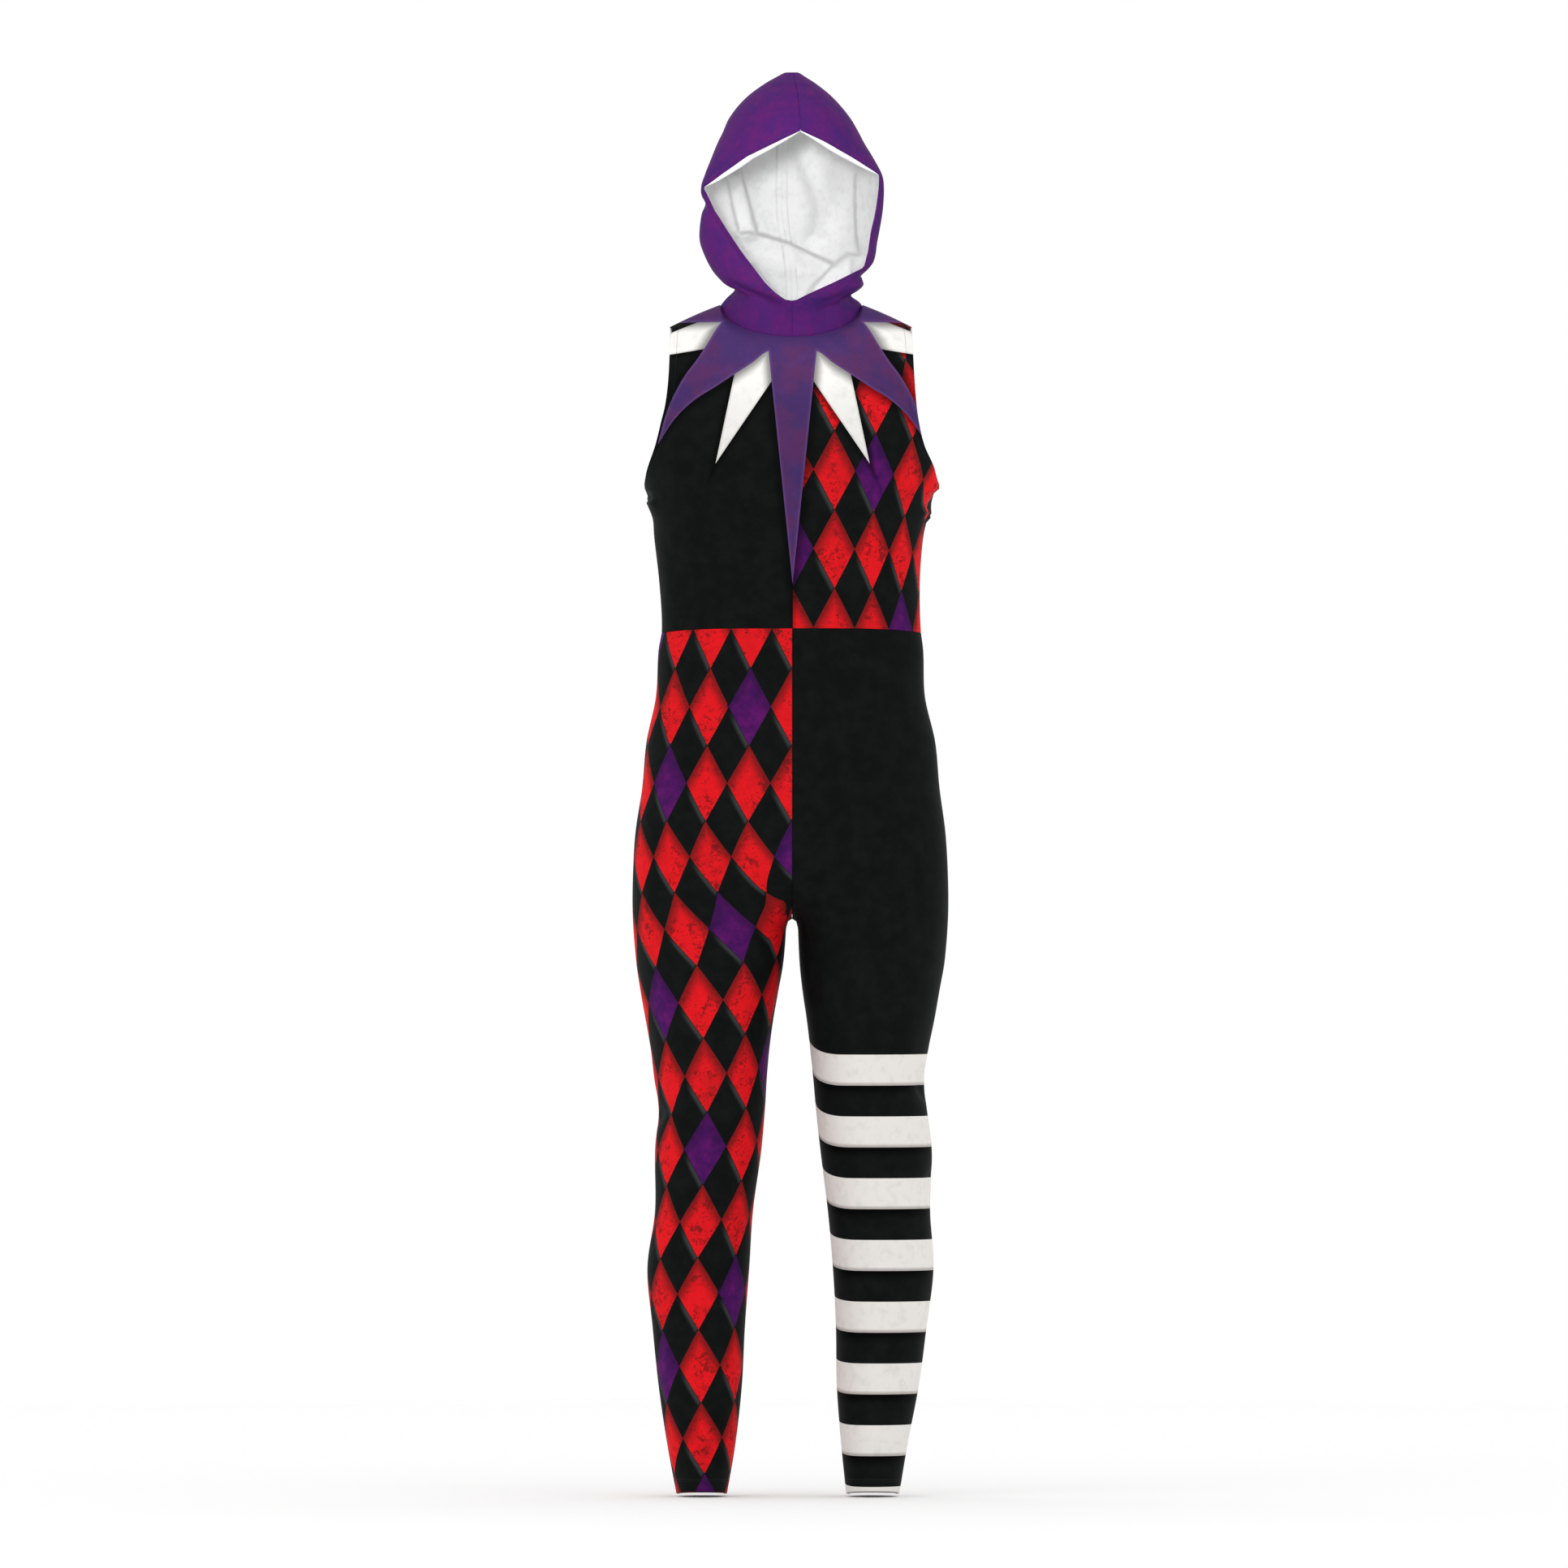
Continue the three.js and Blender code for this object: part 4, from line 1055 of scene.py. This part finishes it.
def addStitches(name, surface, u, v, facing, settle, ranges, thread):
    points, normals, _, _ = foldedPoints(surface, u, v, facing, settle, np.full(v.shape, -stitch["proud"]), *ranges)
    run = runOf(np.diff(points, axis=0))
    at = np.arange(stitch["pitch"], run[-1] - stitch["pitch"] / 2, stitch["pitch"])

    def sampled(rows, at):
        return np.stack([np.interp(at, run, rows[:, k]) for k in range(3)], -1)

    bm = bmesh.new()
    alongs = unit(sampled(points, at + 1) - sampled(points, at - 1))
    for middle, along, up in zip(sampled(points, at), alongs, unit(sampled(normals, at))):
        across = unit(np.cross(up, along))
        axes = [along * stitch["half"], across * stitch["wide"], np.cross(along, across) * stitch["high"], middle]
        matrix = Matrix([(*row, int(k == 3)) for k, row in enumerate(np.stack(axes) * 0.001)]).transposed()
        bmesh.ops.create_uvsphere(bm, u_segments=6, v_segments=4, radius=1, matrix=matrix)
    obj = objectFrom(bm, name, True)
    obj.data.materials.append(thread)
    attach(obj, "garment")


for side, name in ((-1, "right"), (1, "left")):
    u = np.linspace(0, 1, stitch["samples"])
    ranges = (0, 1), (hemZ, waistZ)
    for row, above in stitch["hem"].items():
        ring = np.full(u.shape, float(hemZ + above))
        hemName = f"stitches_hem_{row}_{name}"
        addStitches(hemName, legSurface(side), u, ring, side, np.ones_like, ranges, threads["dark"])
for side, name in ((-1, "right"), (1, "left")):
    back = lambda u, v, side=side: bodicePoint(side, False, u, v)
    half = lambda u, v, side=side: hoodPoint(side, u, v)
    armhole, dark = stitch["armhole"], threads["dark"]
    addEdgeStitches("stitches_armhole_front_" + name, frontSurface, 1, side, -side, armhole, dark, neckSettle)
    addEdgeStitches("stitches_armhole_back_" + name, back, -side, 1, -1, armhole, dark, neckSettle)
    addEdgeStitches("stitches_face_" + name, half, side, 0, 1, stitch["face"], threads["purple"], hoodSettle)
print("stitches made")


# Zip: a black tape behind the chain, metal parts and a bottom stop

zipPiece = {"bevel": 0.00018, "tapeHalf": 12.5, "tapeBehind": 3.4, "tapeSag": 1.5, "tapeThick": 0.0005, "tapeTop": 1.96}
stopPiece = {"v": 0.02, "size": (0.0068, 0.0024, 0.0045), "bevel": 0.0006}
metal = newMaterial("zip_metal_dark", {"Metallic": 0.9}, metalColour, False)
coil = newMaterial("zip_coil_nylon", {"Roughness": 0.42}, coilColour, False)


def dress(node, material):
    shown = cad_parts[node]
    shown.data.materials.clear()
    shown.data.materials.append(material)
    return shown


dress("zip_chain", coil)
for node in ("zip_slider", "zip_pull"):
    shown = dress(node, metal)
    rounded = shown.modifiers.new("worn edges", "BEVEL")
    rounded.width = zipPiece["bevel"]
    rounded.segments = 2
    rounded.limit_method = "ANGLE"
tapeV, tapeSide = np.meshgrid(np.linspace(0, zipPiece["tapeTop"], 90), np.linspace(-1, 1, 9), indexing="ij")
tapeLine = bodicePoint(1, False, 0 * tapeV, tapeV)
behind = zipPiece["tapeBehind"] + zipPiece["tapeSag"] * tapeSide ** 2
tapeEdge = np.stack([zipPiece["tapeHalf"] * tapeSide, -behind, 0 * behind], -1)
tape, _, _ = gridObject("zip_tape", tapeLine + tapeEdge, False)
tape.data.materials.append(newMaterial("zip_tape_woven", {"Roughness": 0.75}, tapeColour, False))
woven = tape.modifiers.new("tape", "SOLIDIFY")
woven.thickness = zipPiece["tapeThick"]
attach(tape, "garment")
stopAt = bodicePoint(1, False, np.zeros(1), np.full(1, stopPiece["v"]))[0] * 0.001
bm = bmesh.new()
bmesh.ops.create_cube(bm, size=1, matrix=Matrix.Translation(stopAt) @ Matrix.Diagonal((*stopPiece["size"], 1)))
bmesh.ops.bevel(
    bm, geom=bm.edges, offset=stopPiece["bevel"], offset_type="OFFSET",
    segments=3, profile=0.5, affect="EDGES", material=-1,
)
bottomStop = objectFrom(bm, "zip_bottom_stop")
bottomStop.data.materials.append(metal)
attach(bottomStop, "garment")
print("zip made")


# Studio: a pale round floor under a white sky, soft lights and the camera

studio = {
    "floor": hemZ * 0.001 - 0.003, "radius": 4.0, "paper": rgb(253, 253, 253), "sky": 1.0,
    "camera": (-0.0095, -25.408, -0.547), "lens": 500,
}
paperFinish = {"Roughness": 0.9, "Specular IOR Level": 0.05}
paper = newMaterial("studio_paper", paperFinish, lambda graph: studio["paper"], False)
bm = bmesh.new()
level = Matrix.Translation((0, 0, studio["floor"]))
bmesh.ops.create_circle(bm, cap_ends=True, segments=96, radius=studio["radius"], matrix=level)
floor = objectFrom(bm, "studio_floor")
floor.data.materials.append(paper)


def addLight(name, place, target, size, power, spread=180):
    light = bpy.data.lights.new(name, "AREA")
    light.shape = "DISK"
    light.size = size
    light.energy = power
    light.spread = math.radians(spread)
    lamp = bpy.data.objects.new(name, light)
    bpy.context.scene.collection.objects.link(lamp)
    lamp.location = place
    lamp.rotation_euler = (Vector(target) - Vector(place)).to_track_quat("-Z", "Y").to_euler()


addLight("key", (-2.4, -3.4, 1.6), (0, 0, -0.4), size=2.4, power=7)
addLight("front", (0.4, -6.5, 0.1), (0, 0, -0.4), size=3.4, power=7)
addLight("hood", (-0.13, -1.58, 0.21), (0, 0.08, 0.128), size=0.4, power=0.255, spread=10)
addLight("top", (0, 0.2, 3.2), (0, 0, -0.6), size=2.4, power=5)
world = bpy.data.worlds.new("studio")
world.use_nodes = True
world.node_tree.nodes["Background"].inputs["Color"].default_value = (1, 1, 1, 1)
world.node_tree.nodes["Background"].inputs["Strength"].default_value = studio["sky"]
bpy.context.scene.world = world
bpy.context.scene.view_settings.view_transform = "Standard"

lens = bpy.data.cameras.new("camera")
lens.lens = studio["lens"]
lens.clip_end = 200
lens.sensor_width = 36
camera = bpy.data.objects.new("camera", lens)
bpy.context.scene.collection.objects.link(camera)
camera.location = studio["camera"]
camera.rotation_euler = (math.pi / 2, 0, 0)
bpy.context.scene.camera = camera
print("studio made")
